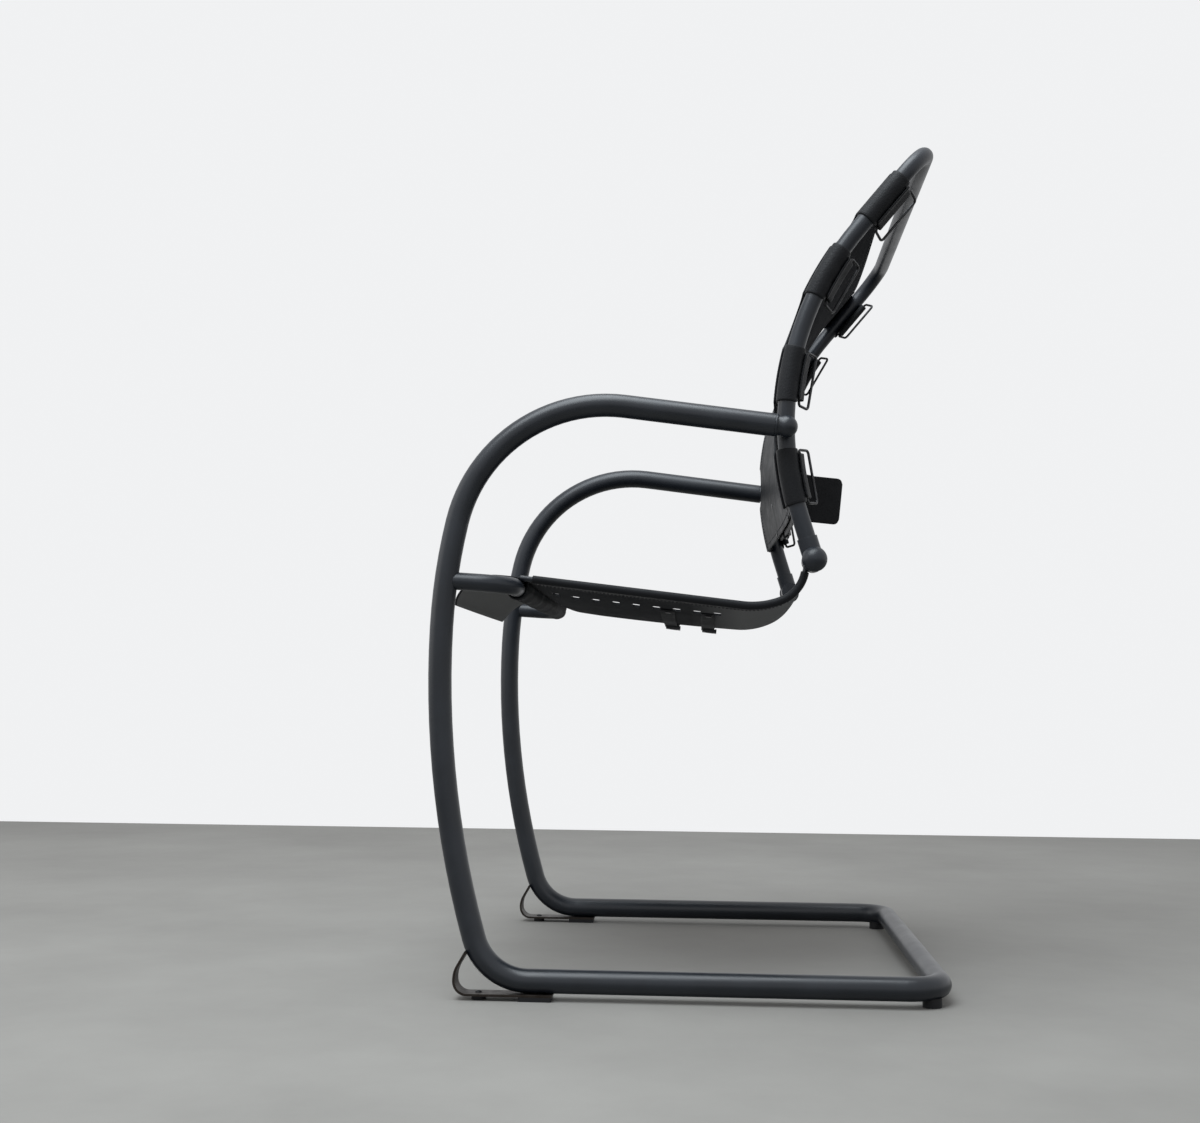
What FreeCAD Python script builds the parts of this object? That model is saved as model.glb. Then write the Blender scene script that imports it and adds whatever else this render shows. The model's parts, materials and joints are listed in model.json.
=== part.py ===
import FreeCAD, Part
import math
import os

from FreeCAD import Placement, Rotation, Vector

# A cantilever chair: a bent steel tube frame that carries a leather sling seat
# and a leather back. Millimetres. X runs to the sitter's left, the chair faces
# -Y, Z is up, and the origin is on the floor in the middle of the footprint.
#
# "depth" is the distance behind the front of the legs' centre lines, and
# "height" is the height above the floor.

SIZES = {
    # Main frame: one tube along each side, joined behind the heels
    "frame_tube": (25.0, "outer diameter of the frame tube"),
    "frame_wall": (2.0, "wall of the frame tube"),
    "half_track": (283.0, "centre of the chair to the centre of a side tube"),
    "front_line": (-264.15, "Y of the front of the legs' centre lines"),
    "runner_height": (19.6, "floor to the runner's centre line"),
    "rear_depth": (528.3, "depth of the rear floor bar"),
    "corner_radius": (38.0, "bend between runner and rear bar"),
    "runner_start": (98.57, "depth at which the foot bend becomes the runner"),
    "foot_radius": (60.25, "bend at the front of the foot"),
    "foot_turn": (73.67, "degrees of the foot bend"),
    "shin_radius": (1010.0, "slow bend of the lower leg"),
    "shin_turn": (18.73, "degrees of the lower leg's bend"),
    "knee_radius": (625.0, "slow bend of the upper leg"),
    "knee_turn": (10.45, "degrees of the upper leg's bend"),
    "shoulder_radius": (162.4, "bend between leg and arm"),
    "shoulder_turn": (84.59, "degrees of the shoulder bend"),
    "arm_run": (162.0, "straight length of the arm"),
    "sleeve_length": (90.0, "length of the sleeve inside the rear bar"),
    "sleeve_screw": (4.0, "diameter of the sleeve's screws"),
    "sleeve_screw_side": (25.0, "centre of the chair to a screw of the sleeve"),

    # Back frame: an upside-down U that hangs from the ends of the arms
    "back_tube": (19.0, "outer diameter of the back tube"),
    "back_wall": (1.5, "wall of the back tube"),
    "half_back": (261.5, "centre of the chair to the centre of the back tube"),
    "knuckle_depth": (398.1, "depth of the lower knuckle"),
    "knuckle_height": (463.5, "height of the lower knuckle"),
    "back_lower_run": (50.0, "straight from knuckle to the back's bend"),
    "back_radius": (336.0, "bend of the back tube"),
    "back_turn": (57.0, "degrees of the back tube's bend"),
    "back_lean": (50.0, "heading of the upper back tube above the horizontal"),
    "back_upper_run": (120.3, "straight from the bend to the top bar"),
    "back_corner": (45.0, "bend between side and top bar"),

    # Joints between arms, back and seat
    "arm_ball": (21.0, "ball on the end of the arm"),
    "ball_neck": (15.0, "neck between arm and ball"),
    "ball_gap": (9.8, "end of the arm tube to the ball's centre"),
    "ball_spigot": (20.0, "spigot of the ball inside the arm tube"),
    "saddle_washer": (15.0, "diameter of the washer between ball and back tube"),
    "joint_bolt": (6.0, "shank of the bolt through the back tube"),
    "bolt_head": (11.0, "head of the bolt through the back tube"),
    "bolt_head_rise": (4.0, "height of the bolt's head"),
    "bolt_head_bed": (0.8, "how deep the bolt's head beds on the round tube"),
    "knuckle_barrel": (24.0, "diameter of the lower knuckle"),
    "barrel_inner": (237.0, "centre of the chair to the knuckle's inner end"),
    "barrel_outer": (273.0, "centre of the chair to the knuckle's outer end"),
    "knuckle_collar": (22.0, "diameter of the knuckle's collar round the back tube"),
    "collar_reach": (25.0, "knuckle axis to the collar's mouth"),
    "collar_seat": (14.0, "knuckle axis to the end of the back tube"),
    "cap_diameter": (27.0, "domed cap of the knuckle"),
    "cap_rise": (11.0, "height of the cap's dome"),
    "cap_rim": (1.0, "thickness of the cap's rim"),
    "cap_pin": (10.0, "length of the pin behind the cap"),
    "socket_depth": (12.0, "depth of the cap's socket in the barrel"),

    # Front cross tube and seat rods
    "cross_tube": (19.0, "outer diameter of the front cross tube"),
    "cross_wall": (2.0, "wall of the front cross tube"),
    "cross_depth": (74.0, "depth of the front cross tube"),
    "cross_height": (434.5, "height of the front cross tube"),
    "stub_height": (439.0, "height at which a stub leaves the leg"),
    "cross_corner": (35.0, "bend between stub and cross tube"),
    "rod_diameter": (6.0, "seat rod"),
    "half_rods": (243.0, "centre of the chair to a seat rod"),
    "rod_start_depth": (80.0, "depth at which the rod meets the cross tube"),
    "rod_start_height": (444.7, "height of the rod there"),
    "rod_slope": (-6.75, "degrees by which the rod falls to the rear"),
    "rod_run": (243.7, "straight length of the rod"),
    "rod_low_radius": (90.0, "first bend of the rod, at the rear of the seat"),
    "rod_low_turn": (26.75, "degrees of the first bend"),
    "rod_rise_radius": (41.0, "second bend, up to the knuckle"),
    "rod_rise_turn": (57.0, "degrees of the second bend"),
    "rod_end_run": (8.0, "straight end of the rod in the knuckle"),

    # Leather
    "seat_leather": (2.5, "thickness of the seat leather"),
    "lip_start": (6.0, "front of the rods to the start of the lip"),
    "lip_run": (22.0, "straight of the lip over the cross tube"),
    "lip_radius": (50.0, "bend of the lip"),
    "lip_fall": (62.0, "degrees by which the lip's edge points down"),
    "lip_end_run": (9.0, "straight at the lip's edge"),
    "lip_sag": (0.6, "sag of the lip across the chair"),
    "hem_diameter": (9.0, "hem round a seat rod"),
    "hem_start": (14.0, "front of the rod to the start of its hem"),
    "hem_short": (6.0, "degrees of the rod's second bend left bare"),
    "seat_sag": (17.0, "sag of the seat between its rods"),
    "slot_count": (9, "punched slots on each side of the seat"),
    "slot_pitch": (23.0, "distance between slots"),
    "slot_first": (112.5, "depth of the first slot"),
    "slot_side": (163.0, "centre of the chair to a row of slots"),
    "slot_long": (22.0, "slot across the chair"),
    "slot_wide": (9.0, "slot along the chair"),
    "back_leather": (2.5, "thickness of the back leather"),
    "back_sag": (16.8, "how far the back leather sags between the tubes"),
    "panel_edge": (12.0, "back tube's centre line to the panel's side edge"),
    "top_dip": (35.0, "dip of the panel's top edge"),
    "bottom_dip": (10.0, "rise of the panel's bottom edge"),
    "scallop_dip": (14.0, "depth of the panel's scallops between its tabs"),
    "layer_gap": (0.3, "room between the two layers of a doubled end"),
    "tab_leather": (2.2, "thickness of a tab"),
    "tab_length": (59.0, "length of a tab along the tube"),
    "tab_fold": (50.0, "length of a tab's fold, between the ring's ends"),
    "fold_reach": (12.0, "back tube's centre line to the ring's axis"),
    "ring_wire": (3.0, "wire of a ring"),
    "ring_long": (62.0, "ring, along the tube"),
    "ring_wide": (24.0, "ring, across the tube"),
    "ring_corner": (4.0, "corner radius of the ring's centre line"),
    "ring_rest": (32.0, "degrees by which a ring stands off the back"),
    "ring_play": (0.8, "clearance between ring and fold"),
    "strap_leather": (2.0, "thickness of the lumbar strap"),
    "strap_width": (54.0, "width of the lumbar strap"),
    "strap_flap": (54.0, "loose end of the lumbar strap"),
    "strap_turn": (73.0, "centre of the chair to the loose end"),
    "strap_fold": (102.0, "centre of the chair to the strap's fold round its ring"),
    "strap_gap": (1.5, "room behind the back leather for the strap"),
    "strap_corner": (6.0, "bend between the strap and its loose end"),
    "strap_rivets": (52.0, "centre of the chair to the strap's rivets"),
    "anchor_rivets": (24.0, "far side of the ring to the anchor's rivets"),
    "anchor_run": (34.0, "length of the anchor behind the back leather"),
    "tie_width": (15.0, "width of a tie under the seat"),
    "tie_leather": (1.6, "thickness of a tie under the seat"),
    "tie_gap": (0.5, "room between a tie and the seat's underside"),
    "tie_reach": (165.0, "half length of a tie under the seat"),
    "tie_rivet_inset": (9.0, "end of a tie to its rivet"),
    "tie_front": (240.0, "depth of the first tie"),
    "tie_rear": (286.0, "depth of the second tie"),
    "buckle_wide": (22.0, "buckle under the seat, across the chair"),
    "buckle_high": (5.0, "buckle under the seat, downwards"),
    "buckle_bar": (4.0, "bars of the buckle"),
    "buckle_margin": (1.5, "how far the buckle stands out beside its tie"),
    "buckle_side": (60.0, "centre of the chair to the buckles"),
    "rivet_head": (7.0, "head of a rivet"),
    "rivet_rise": (1.3, "thickness of a rivet's head"),
    "rivet_shank": (3.5, "shank of a rivet"),

    # Feet
    "strip_width": (25.0, "width of a foot spring"),
    "strip_thick": (2.5, "thickness of a foot spring"),
    "glide_diameter": (15.0, "front glide"),
    "glide_depth": (47.0, "depth of the front glide"),
    "pad_length": (34.0, "length of a heel pad"),
    "pad_depth": (107.0, "depth of a heel pad's middle"),
    "foot_screw": (4.0, "screw that holds a foot spring to its runner"),
    "foot_screw_head": (8.0, "head of that screw"),
    "rear_glide": (20.0, "diameter of a rear glide"),
    "glide_pin": (5.0, "pin of a rear glide"),
}

# Depths behind the leg line and the seat's sag there, as parts of the full sag
SEAT_STATIONS = [(74, 0.01), (80, 0.04), (87, 0.22), (100, 0.65), (118, 0.94), (150, 1.0), (190, 1.0),
                 (230, 0.97), (270, 0.90), (305, 0.82), (330, 0.76)]
# Distances along the rod past its straight length, and the sag there
SEAT_REAR_STATIONS = [(12, 0.70), (30, 0.62), (46, 0.50), (60, 0.36), (72, 0.24)]
# Front lip, from the cross tube forward: distance along the lip and half width
LIP_STATIONS = [(0, 243.0), (14, 236.0), (28, 226.0), (44, 218.0), (60, 214.0), (74, 209.0), (82, 202.0),
                (86, 192.0)]

# Middle of each tab, as degrees above the level of the back bend's centre
TABS_ON_BEND = {2: 30.0, 3: 9.5, 4: -9.7}
TOP_TAB_RUN = 43.0

# Length of the folded-back layer of the strap and of its anchor
STRAP_LEAD = 9.0
ANCHOR_LEAD = 7.0

# Height of the drums that cut the panel's edges, well over the panel's own sag
DRUM_HEIGHT = 90.0

# Side view of a foot spring: start (Y in the front line's depth, height), heading in
# degrees, then its runs, (length,), and bends, (radius, degrees)
SPRING_START = (33.9, 49.4)
SPRING_HEADING = 240
SPRING_STEPS = [(16.3,), (28.75, 35), (13.75, 85), (89.5,)]
SPRING_BOTTOM = 4.5

X_AXIS = Vector(1, 0, 0)
Y_AXIS = Vector(0, 1, 0)
Z_AXIS = Vector(0, 0, 1)
SIDES = {"left": 1, "right": -1}

doc = FreeCAD.newDocument("cantilever_chair")
sheet = doc.addObject("Spreadsheet::Sheet", "sizes")
for row, (alias, (value, note)) in enumerate(SIZES.items(), start=1):
    sheet.set(f"A{row}", note)
    sheet.set(f"B{row}", str(value))
    sheet.setAlias(f"B{row}", alias)
doc.recompute()

PARTS = []


def size(alias):
    return float(getattr(sheet, alias))


def depth_to_y(depth):
    return size("front_line") + depth


def part(obj, name):
    """Registers an object as a sub-part under the name of its file."""
    obj.Label = name
    PARTS.append(obj)
    return obj


def bind(obj, prop, expression):
    """Binds a property to sheet cells: words that are aliases are looked up."""
    words = sorted(SIZES, key=len, reverse=True)
    out = ""
    token = ""
    for char in expression + " ":
        if char.isalnum() or char == "_":
            token += char
            continue
        out += f"sizes.{token}" if token in words else token
        out += char
        token = ""
    obj.setExpression(prop, out.strip())


class Path:
    """A route of straight runs joined by tangent arcs."""

    def __init__(self, start, direction):
        self.pos = Vector(start)
        self.dir = Vector(direction).normalize()
        self.edges = []
        self.spans = []

    def run(self, length):
        end = self.pos + self.dir * length
        self.edges.append(Part.LineSegment(self.pos, end))
        self.spans.append((Vector(self.pos), Vector(self.dir), length, None, None, 0.0))
        self.pos = end
        return self

    def bend(self, radius, degrees, axis):
        """Turns by degrees about the axis, by the right-hand rule."""
        axis = Vector(axis).normalize()
        side = axis.cross(self.dir) * (1 if degrees > 0 else -1)
        centre = self.pos + side * radius
        middle = centre + Rotation(axis, degrees / 2).multVec(self.pos - centre)
        end = centre + Rotation(axis, degrees).multVec(self.pos - centre)
        self.edges.append(Part.Arc(self.pos, middle, end))
        length = radius * math.radians(abs(degrees))
        self.spans.append((Vector(self.pos), Vector(self.dir), length, axis, centre, degrees))
        self.pos = end
        self.dir = Rotation(axis, degrees).multVec(self.dir)
        return self

    def length(self):
        return sum(span[2] for span in self.spans)

    def at(self, distance):
        """Point and direction at a distance along the route."""
        for pos, heading, length, axis, centre, degrees in self.spans:
            if distance <= length:
                break
            distance -= length
        else:
            distance = length
        if axis is None:
            return pos + heading * distance, heading
        turn = Rotation(axis, degrees * distance / length)
        return centre + turn.multVec(pos - centre), turn.multVec(heading)

    def wire(self):
        return Part.Wire([edge.toShape() for edge in self.edges])


def heading(degrees):
    """Direction in the side plane: 0 points to the rear and 90 up."""
    angle = math.radians(degrees)
    return Vector(0, math.cos(angle), math.sin(angle))


def helper(name, shape):
    obj = doc.addObject("Part::Feature", name)
    obj.Shape = shape
    return obj


def circle(name, diameter, start, direction):
    obj = doc.addObject("Part::Circle", name)
    bind(obj, "Radius", f"({diameter}) / 2")
    obj.Placement = Placement(start, Rotation(Z_AXIS, direction))
    return obj


def swept_rod(name, path, diameter):
    """A round bar along a path."""
    start, direction = path.at(0)
    spine = helper(name + "_route", path.wire())
    sweep = doc.addObject("Part::Sweep", name)
    sweep.Sections = [circle(name + "_section", diameter, start, direction)]
    sweep.Spine = (spine, [f"Edge{i + 1}" for i in range(len(path.edges))])
    sweep.Solid = True
    sweep.Frenet = False
    return sweep


def swept_tube(name, path, diameter, wall):
    return cut(name, swept_rod(name + "_outside", path, diameter),
               swept_rod(name + "_inside", path, f"{diameter} - 2 * {wall}"))


def cut(name, base, *tools):
    obj = doc.addObject("Part::Cut", name)
    obj.Base = base
    obj.Tool = tools[0] if len(tools) == 1 else fuse(name + "_tools", *tools)
    return obj


def fuse(name, *shapes):
    obj = doc.addObject("Part::MultiFuse", name)
    obj.Shapes = list(shapes)
    return obj


def cylinder(name, diameter, length, start, direction):
    obj = doc.addObject("Part::Cylinder", name)
    bind(obj, "Radius", f"({diameter}) / 2")
    bind(obj, "Height", length)
    obj.Placement = Placement(start, Rotation(Z_AXIS, direction))
    return obj


def ball(name, diameter, centre):
    obj = doc.addObject("Part::Sphere", name)
    bind(obj, "Radius", f"({diameter}) / 2")
    obj.Placement = Placement(centre, Rotation())
    return obj


def block(name, long, wide, high, placement):
    """A box with its centre at the placement's base."""
    obj = doc.addObject("Part::Box", name)
    bind(obj, "Length", long)
    bind(obj, "Width", wide)
    bind(obj, "Height", high)
    doc.recompute()
    middle = Vector(obj.Length.Value / 2, obj.Width.Value / 2, obj.Height.Value / 2)
    obj.Placement = placement.multiply(Placement(middle * -1, Rotation()))
    return obj


def sketch_on(body, name, plane, geometry):
    sketch = body.newObject("Sketcher::SketchObject", name)
    origin = [item for item in body.Origin.OriginFeatures if item.Role == plane][0]
    sketch.AttachmentSupport = (origin, [""])
    sketch.MapMode = "FlatFace"
    for item in geometry:
        sketch.addGeometry(item, False)
    return sketch


def padded(name, plane, geometry, length, placement=None):
    """A body with one outline padded to both sides of its plane."""
    body = doc.addObject("PartDesign::Body", name)
    pad = body.newObject("PartDesign::Pad", name + "_pad")
    pad.Profile = sketch_on(body, name + "_outline", plane, geometry)
    bind(pad, "Length", length)
    pad.SideType = "Symmetric"
    body.Placement = placement or Placement()
    return body


def turned(name, outline, placement):
    """A body turned about its own Z axis from an outline in its XZ plane."""
    body = doc.addObject("PartDesign::Body", name)
    sketch = sketch_on(body, name + "_outline", "XZ_Plane", outline)
    turn = body.newObject("PartDesign::Revolution", name + "_turn")
    turn.Profile = sketch
    turn.ReferenceAxis = (sketch, ["V_Axis"])
    turn.Angle = 360
    body.Placement = placement
    return body


def flat(x, y):
    return Vector(x, y, 0)


def strip_outline(start, degrees, steps, thickness, flip=1):
    """Outline of a bent strip, from its centre line in the sketch plane.

    A step is (length,) for a straight or (radius, turn) for a bend, and flip
    of -1 mirrors the strip in the sketch's Y axis.
    """
    sides = []
    for offset in (thickness / 2, -thickness / 2):
        angle = math.radians(degrees)
        direction = flat(math.cos(angle), math.sin(angle))
        left = flat(-direction.y, direction.x)
        path = Path(flat(*start) + left * offset, direction)
        for step in steps:
            if len(step) == 1:
                path.run(step[0])
            else:
                radius, turn = step
                path.bend(radius - offset * math.copysign(1, turn), turn, Z_AXIS)
        sides.append(path)
    first, second = sides
    edges = first.edges + [Part.LineSegment(first.pos, second.pos)]
    edges += second.edges + [Part.LineSegment(first.at(0)[0], second.at(0)[0])]
    geometry = []
    for edge in edges:
        points = [edge.StartPoint, edge.EndPoint]
        if isinstance(edge, Part.LineSegment):
            ends = [flat(flip * point.x, point.y) for point in points]
            geometry.append(Part.LineSegment(*ends))
        else:
            half = edge.value((edge.FirstParameter + edge.LastParameter) / 2)
            ends = [flat(flip * point.x, point.y) for point in (points[0], half, points[1])]
            geometry.append(Part.Arc(*ends))
    return geometry


def polygon(points):
    ring = points + points[:1]
    return [Part.LineSegment(flat(*a), flat(*b)) for a, b in zip(ring, ring[1:])]


# Main frame

def frame_path(side):
    """From the middle of the rear bar along one runner and up to the arm."""
    start = Vector(0, depth_to_y(size("rear_depth")), size("runner_height"))
    radius = size("corner_radius")
    path = Path(start, X_AXIS * side)
    path.run(size("half_track") - radius)
    path.bend(radius, -90 * side, Z_AXIS)
    path.run(size("rear_depth") - radius - size("runner_start"))
    for bend in ("foot", "shin", "knee", "shoulder"):
        path.bend(size(bend + "_radius"), -size(bend + "_turn"), X_AXIS)
    path.run(size("arm_run"))
    return path


FRAME_PATHS = {name: frame_path(side) for name, side in SIDES.items()}


def sleeve_screw_places():
    y = depth_to_y(size("rear_depth"))
    low = size("runner_height") - size("frame_tube") / 2
    return {name: Vector(side * size("sleeve_screw_side"), y, low) for name, side in SIDES.items()}


def foot_screw_place(side):
    return Vector(side * size("half_track"), depth_to_y(size("pad_depth")), 0)


def rear_glide_place(side):
    """On the floor below the middle of the rear corner's bend."""
    path = FRAME_PATHS["left" if side > 0 else "right"]
    straight = size("half_track") - size("corner_radius")
    point = path.at(straight + size("corner_radius") * math.pi / 4)[0]
    return Vector(point.x, point.y, 0)


def make_main_frame():
    sleeve_holes = []
    for name, side in SIDES.items():
        tube = swept_tube(f"frame_tube_{name}", FRAME_PATHS[name], "frame_tube", "frame_wall")
        sleeve_hole = cylinder(f"sleeve_hole_{name}", "sleeve_screw", "frame_tube / 2",
                               sleeve_screw_places()[name], Z_AXIS)
        foot_hole = cylinder(f"foot_hole_{name}", "foot_screw", "runner_height", foot_screw_place(side), Z_AXIS)
        glide_hole = cylinder(f"glide_hole_{name}", "glide_pin", "runner_height", rear_glide_place(side), Z_AXIS)
        part(cut(f"main_frame_{name}", tube, sleeve_hole, foot_hole, glide_hole), f"main_frame_{name}")
        sleeve_holes.append(sleeve_hole)
    start = Vector(-size("sleeve_length") / 2, depth_to_y(size("rear_depth")), size("runner_height"))
    rod = cylinder("sleeve_rod", "frame_tube - 2 * frame_wall", "sleeve_length", start, X_AXIS)
    bore = cylinder("sleeve_bore", "frame_tube - 4 * frame_wall", "sleeve_length", start, X_AXIS)
    part(cut("rear_bar_sleeve", rod, bore, *sleeve_holes), "rear_bar_sleeve")
    screws = []
    for name in SIDES:
        place = sleeve_screw_places()[name]
        shank = cylinder(f"sleeve_screw_shank_{name}", "sleeve_screw", "2 * frame_wall + 2", place, Z_AXIS)
        head = cylinder(f"sleeve_screw_head_{name}", "sleeve_screw + 3", "2.5", place - Z_AXIS * 1.5, Z_AXIS)
        skin = [obj for obj in PARTS if obj.Label == f"main_frame_{name}"]
        screws.append(cut(f"sleeve_screw_{name}", fuse(f"sleeve_screw_blank_{name}", head, shank), *skin))
    part(fuse("rear_bar_screws", *screws), "rear_bar_screws")


# Back frame

def back_path():
    """From the left knuckle over the top bar to the right knuckle."""
    lower = size("back_lean") + size("back_turn")
    start = knuckle_centre(1) + heading(lower) * size("collar_seat")
    start.x = size("half_back")
    up = heading(size("back_lean"))
    corner = size("back_corner")
    path = Path(start, heading(lower))
    path.run(size("back_lower_run") - size("collar_seat"))
    path.bend(size("back_radius"), -size("back_turn"), X_AXIS)
    path.run(size("back_upper_run") - corner)
    path.bend(corner, 90, X_AXIS.cross(up))
    path.run(2 * (size("half_back") - corner))
    path.bend(corner, 90, X_AXIS.cross(up))
    path.run(size("back_upper_run") - corner)
    path.bend(size("back_radius"), size("back_turn"), X_AXIS)
    path.run(size("back_lower_run") - size("collar_seat"))
    return path


def knuckle_centre(side):
    return Vector(side * size("half_back"), depth_to_y(size("knuckle_depth")), size("knuckle_height"))


def ball_centre(side):
    path = FRAME_PATHS["left" if side > 0 else "right"]
    return path.pos + path.dir * size("ball_gap")


def joint_start(side):
    """Where the joint's bolt enters the back tube, on its inner side."""
    centre = ball_centre(side)
    inner = size("half_back") - size("back_tube") / 2
    return Vector(side * inner, centre.y, centre.z)


def make_back_frame():
    tube = swept_tube("back_frame_tube", back_path(), "back_tube", "back_wall")
    holes = [cylinder(f"back_hole_{name}", "joint_bolt", "back_tube", joint_start(side), X_AXIS * side)
             for name, side in SIDES.items()]
    return part(cut("back_frame", tube, *holes), "back_frame")


def make_arm_joints():
    tubes = swept_rod("back_tube_solid", back_path(), "back_tube")
    bolts = []
    for name, side in SIDES.items():
        outward = X_AXIS * side
        centre = ball_centre(side)
        path = FRAME_PATHS[name]
        spigot = cylinder(f"ball_spigot_{name}", "frame_tube - 2 * frame_wall", "ball_spigot",
                          path.pos - path.dir * size("ball_spigot"), path.dir)
        neck = cylinder(f"ball_neck_{name}", "ball_neck", "ball_gap", path.pos, path.dir)
        head = ball(f"ball_head_{name}", "arm_ball", centre)
        start = joint_start(side)
        reach = size("half_track") - abs(start.x)
        shank = cylinder(f"bolt_shank_{name}", "joint_bolt", str(reach), start, outward)
        part(cut(f"arm_end_ball_{name}", fuse(f"ball_body_{name}", spigot, neck, head), shank),
             f"arm_end_ball_{name}")
        # The washer's blank starts inside the back tube and ends inside the ball
        blank_start = start + outward * 0.75 * size("back_tube")
        spacer = cylinder(f"washer_blank_{name}", "saddle_washer", "back_tube / 2", blank_start, outward)
        part(cut(f"saddle_washer_{name}", spacer, tubes, head, shank), f"saddle_washer_{name}")
        under_head = start - outward * (size("bolt_head_rise") - size("bolt_head_bed"))
        bolt_head = cylinder(f"bolt_head_{name}", "bolt_head", "bolt_head_rise", under_head, outward)
        bolts.append(cut(f"bolt_{name}", fuse(f"bolt_blank_{name}", bolt_head, shank),
                         cut(f"bolt_wall_{name}", tubes, shank)))
    part(fuse("arm_joint_bolts", *bolts), "arm_joint_bolts")


def make_knuckles():
    back_solid = swept_rod("back_solid_at_knuckles", back_path(), "back_tube")
    upward = heading(size("back_lean") + size("back_turn"))
    for name, side in SIDES.items():
        outward = X_AXIS * side
        centre = knuckle_centre(side)
        inner = Vector(side * size("barrel_inner"), centre.y, centre.z)
        outer = Vector(side * size("barrel_outer"), centre.y, centre.z)
        barrel = cylinder(f"knuckle_barrel_{name}", "knuckle_barrel", "barrel_outer - barrel_inner", inner,
                          outward)
        collar = cylinder(f"knuckle_collar_{name}", "knuckle_collar", "collar_reach", centre, upward)
        socket = cylinder(f"cap_socket_{name}", "knuckle_barrel / 2", "socket_depth",
                          outer - outward * size("socket_depth"), outward)
        rod = swept_rod(f"rod_in_knuckle_{name}", rod_path(side), "rod_diameter")
        body = fuse(f"knuckle_body_{name}", barrel, collar)
        part(cut(f"lower_knuckle_{name}", body, back_solid, socket, rod), f"lower_knuckle_{name}")
        part(turned(f"knuckle_cap_{name}", cap_outline(), Placement(outer, Rotation(Z_AXIS, outward))),
             f"knuckle_cap_{name}")


def cap_outline():
    """Half section of the cap: a dome on a thin rim, with a pin behind it."""
    radius = size("cap_diameter") / 2
    rim = size("cap_rim")
    dome_rise = size("cap_rise") - rim
    dome_radius = (radius ** 2 + dome_rise ** 2) / (2 * dome_rise)
    half_turn = math.asin(radius / dome_radius) / 2
    middle = flat(dome_radius * math.sin(half_turn),
                  size("cap_rise") - dome_radius * (1 - math.cos(half_turn)))
    pin = size("knuckle_barrel") / 4
    end = -size("cap_pin")
    corners = [(0, size("cap_rise")), (0, end), (pin, end), (pin, 0), (radius - rim, 0), (radius, rim)]
    return polygon(corners)[:-1] + [Part.Arc(flat(*corners[-1]), middle, flat(*corners[0]))]


# Front cross tube and seat rods

def cross_path():
    """From inside the left leg over the cross tube to inside the right leg."""
    left = size("half_track")
    corner = size("cross_corner")
    start = Vector(left, depth_to_y(2), size("stub_height"))
    elbow = Vector(left, depth_to_y(size("cross_depth")), size("cross_height"))
    back = (elbow - start).normalize()
    run = (elbow - start).Length - corner
    path = Path(start, back)
    path.run(run)
    path.bend(corner, 90, X_AXIS.cross(back))
    path.run(2 * (left - corner))
    path.bend(corner, 90, X_AXIS.cross(back))
    path.run(run)
    return path


def rod_path(side):
    """From the top of the cross tube along the seat and up to the knuckle."""
    start = Vector(side * size("half_rods"), depth_to_y(size("rod_start_depth")), size("rod_start_height"))
    path = Path(start, heading(size("rod_slope")))
    path.run(size("rod_run"))
    path.bend(size("rod_low_radius"), size("rod_low_turn"), X_AXIS)
    path.bend(size("rod_rise_radius"), size("rod_rise_turn"), X_AXIS)
    path.run(size("rod_end_run"))
    return path


def make_seat_frame():
    legs = [swept_rod(f"leg_solid_{name}", FRAME_PATHS[name], "frame_tube") for name in SIDES]
    tube = swept_tube("cross_tube_raw", cross_path(), "cross_tube", "cross_wall")
    part(cut("front_cross_tube", tube, *legs), "front_cross_tube")
    solid = swept_rod("cross_tube_solid", cross_path(), "cross_tube")
    for name, side in SIDES.items():
        rod = swept_rod(f"rod_raw_{name}", rod_path(side), "rod_diameter")
        part(cut(f"seat_rod_{name}", rod, solid), f"seat_rod_{name}")
    return solid


# Seat leather

def sheet_section(origin, along, half_width, sag, thickness):
    """A closed band across the chair: two arcs that sag, and two short ends."""
    normal = X_AXIS.cross(along).normalize()
    faces = []
    for offset in (thickness / 2, -thickness / 2):
        left = origin + X_AXIS * half_width + normal * offset
        right = origin - X_AXIS * half_width + normal * offset
        middle = origin + normal * (offset - sag)
        faces.append((left, middle, right))
    top, bottom = faces
    edges = [Part.Arc(*top), Part.LineSegment(top[2], bottom[2]),
             Part.Arc(bottom[2], bottom[1], bottom[0]), Part.LineSegment(bottom[0], top[0])]
    return Part.Wire([edge.toShape() for edge in edges])


def lip_path():
    """From the top of the cross tube forward and down to the lip's edge."""
    slope = size("rod_slope")
    start = rod_path(1).at(0)[0]
    start.x = 0
    forward = heading(slope + 180)
    start += forward * size("lip_start")
    path = Path(start, forward)
    path.run(size("lip_run"))
    path.bend(size("lip_radius"), size("lip_fall") - slope, X_AXIS)
    path.run(size("lip_end_run"))
    return path


def seat_sections():
    """Section wires of the seat from the lip's edge to the rear."""
    thickness = size("seat_leather")
    lip = lip_path()
    wires = []
    for distance, half_width in reversed(LIP_STATIONS[1:]):
        point, direction = lip.at(min(distance, lip.length()))
        wires.append(sheet_section(point, direction * -1, half_width, size("lip_sag"), thickness))
    rod = rod_path(1)
    straight = size("rod_run")
    start = size("rod_start_depth")
    for depth, share in SEAT_STATIONS:
        distance = (depth - start) / math.cos(math.radians(size("rod_slope")))
        point, direction = rod.at(max(distance, 0))
        point += direction * min(distance, 0)
        wires.append(section_at(point, direction, share, thickness))
    for distance, share in SEAT_REAR_STATIONS:
        point, direction = rod.at(straight + distance)
        wires.append(section_at(point, direction, share, thickness))
    return wires


def section_at(point, direction, share, thickness):
    centre = Vector(0, point.y, point.z)
    return sheet_section(centre, direction, size("half_rods"), size("seat_sag") * share, thickness)


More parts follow.
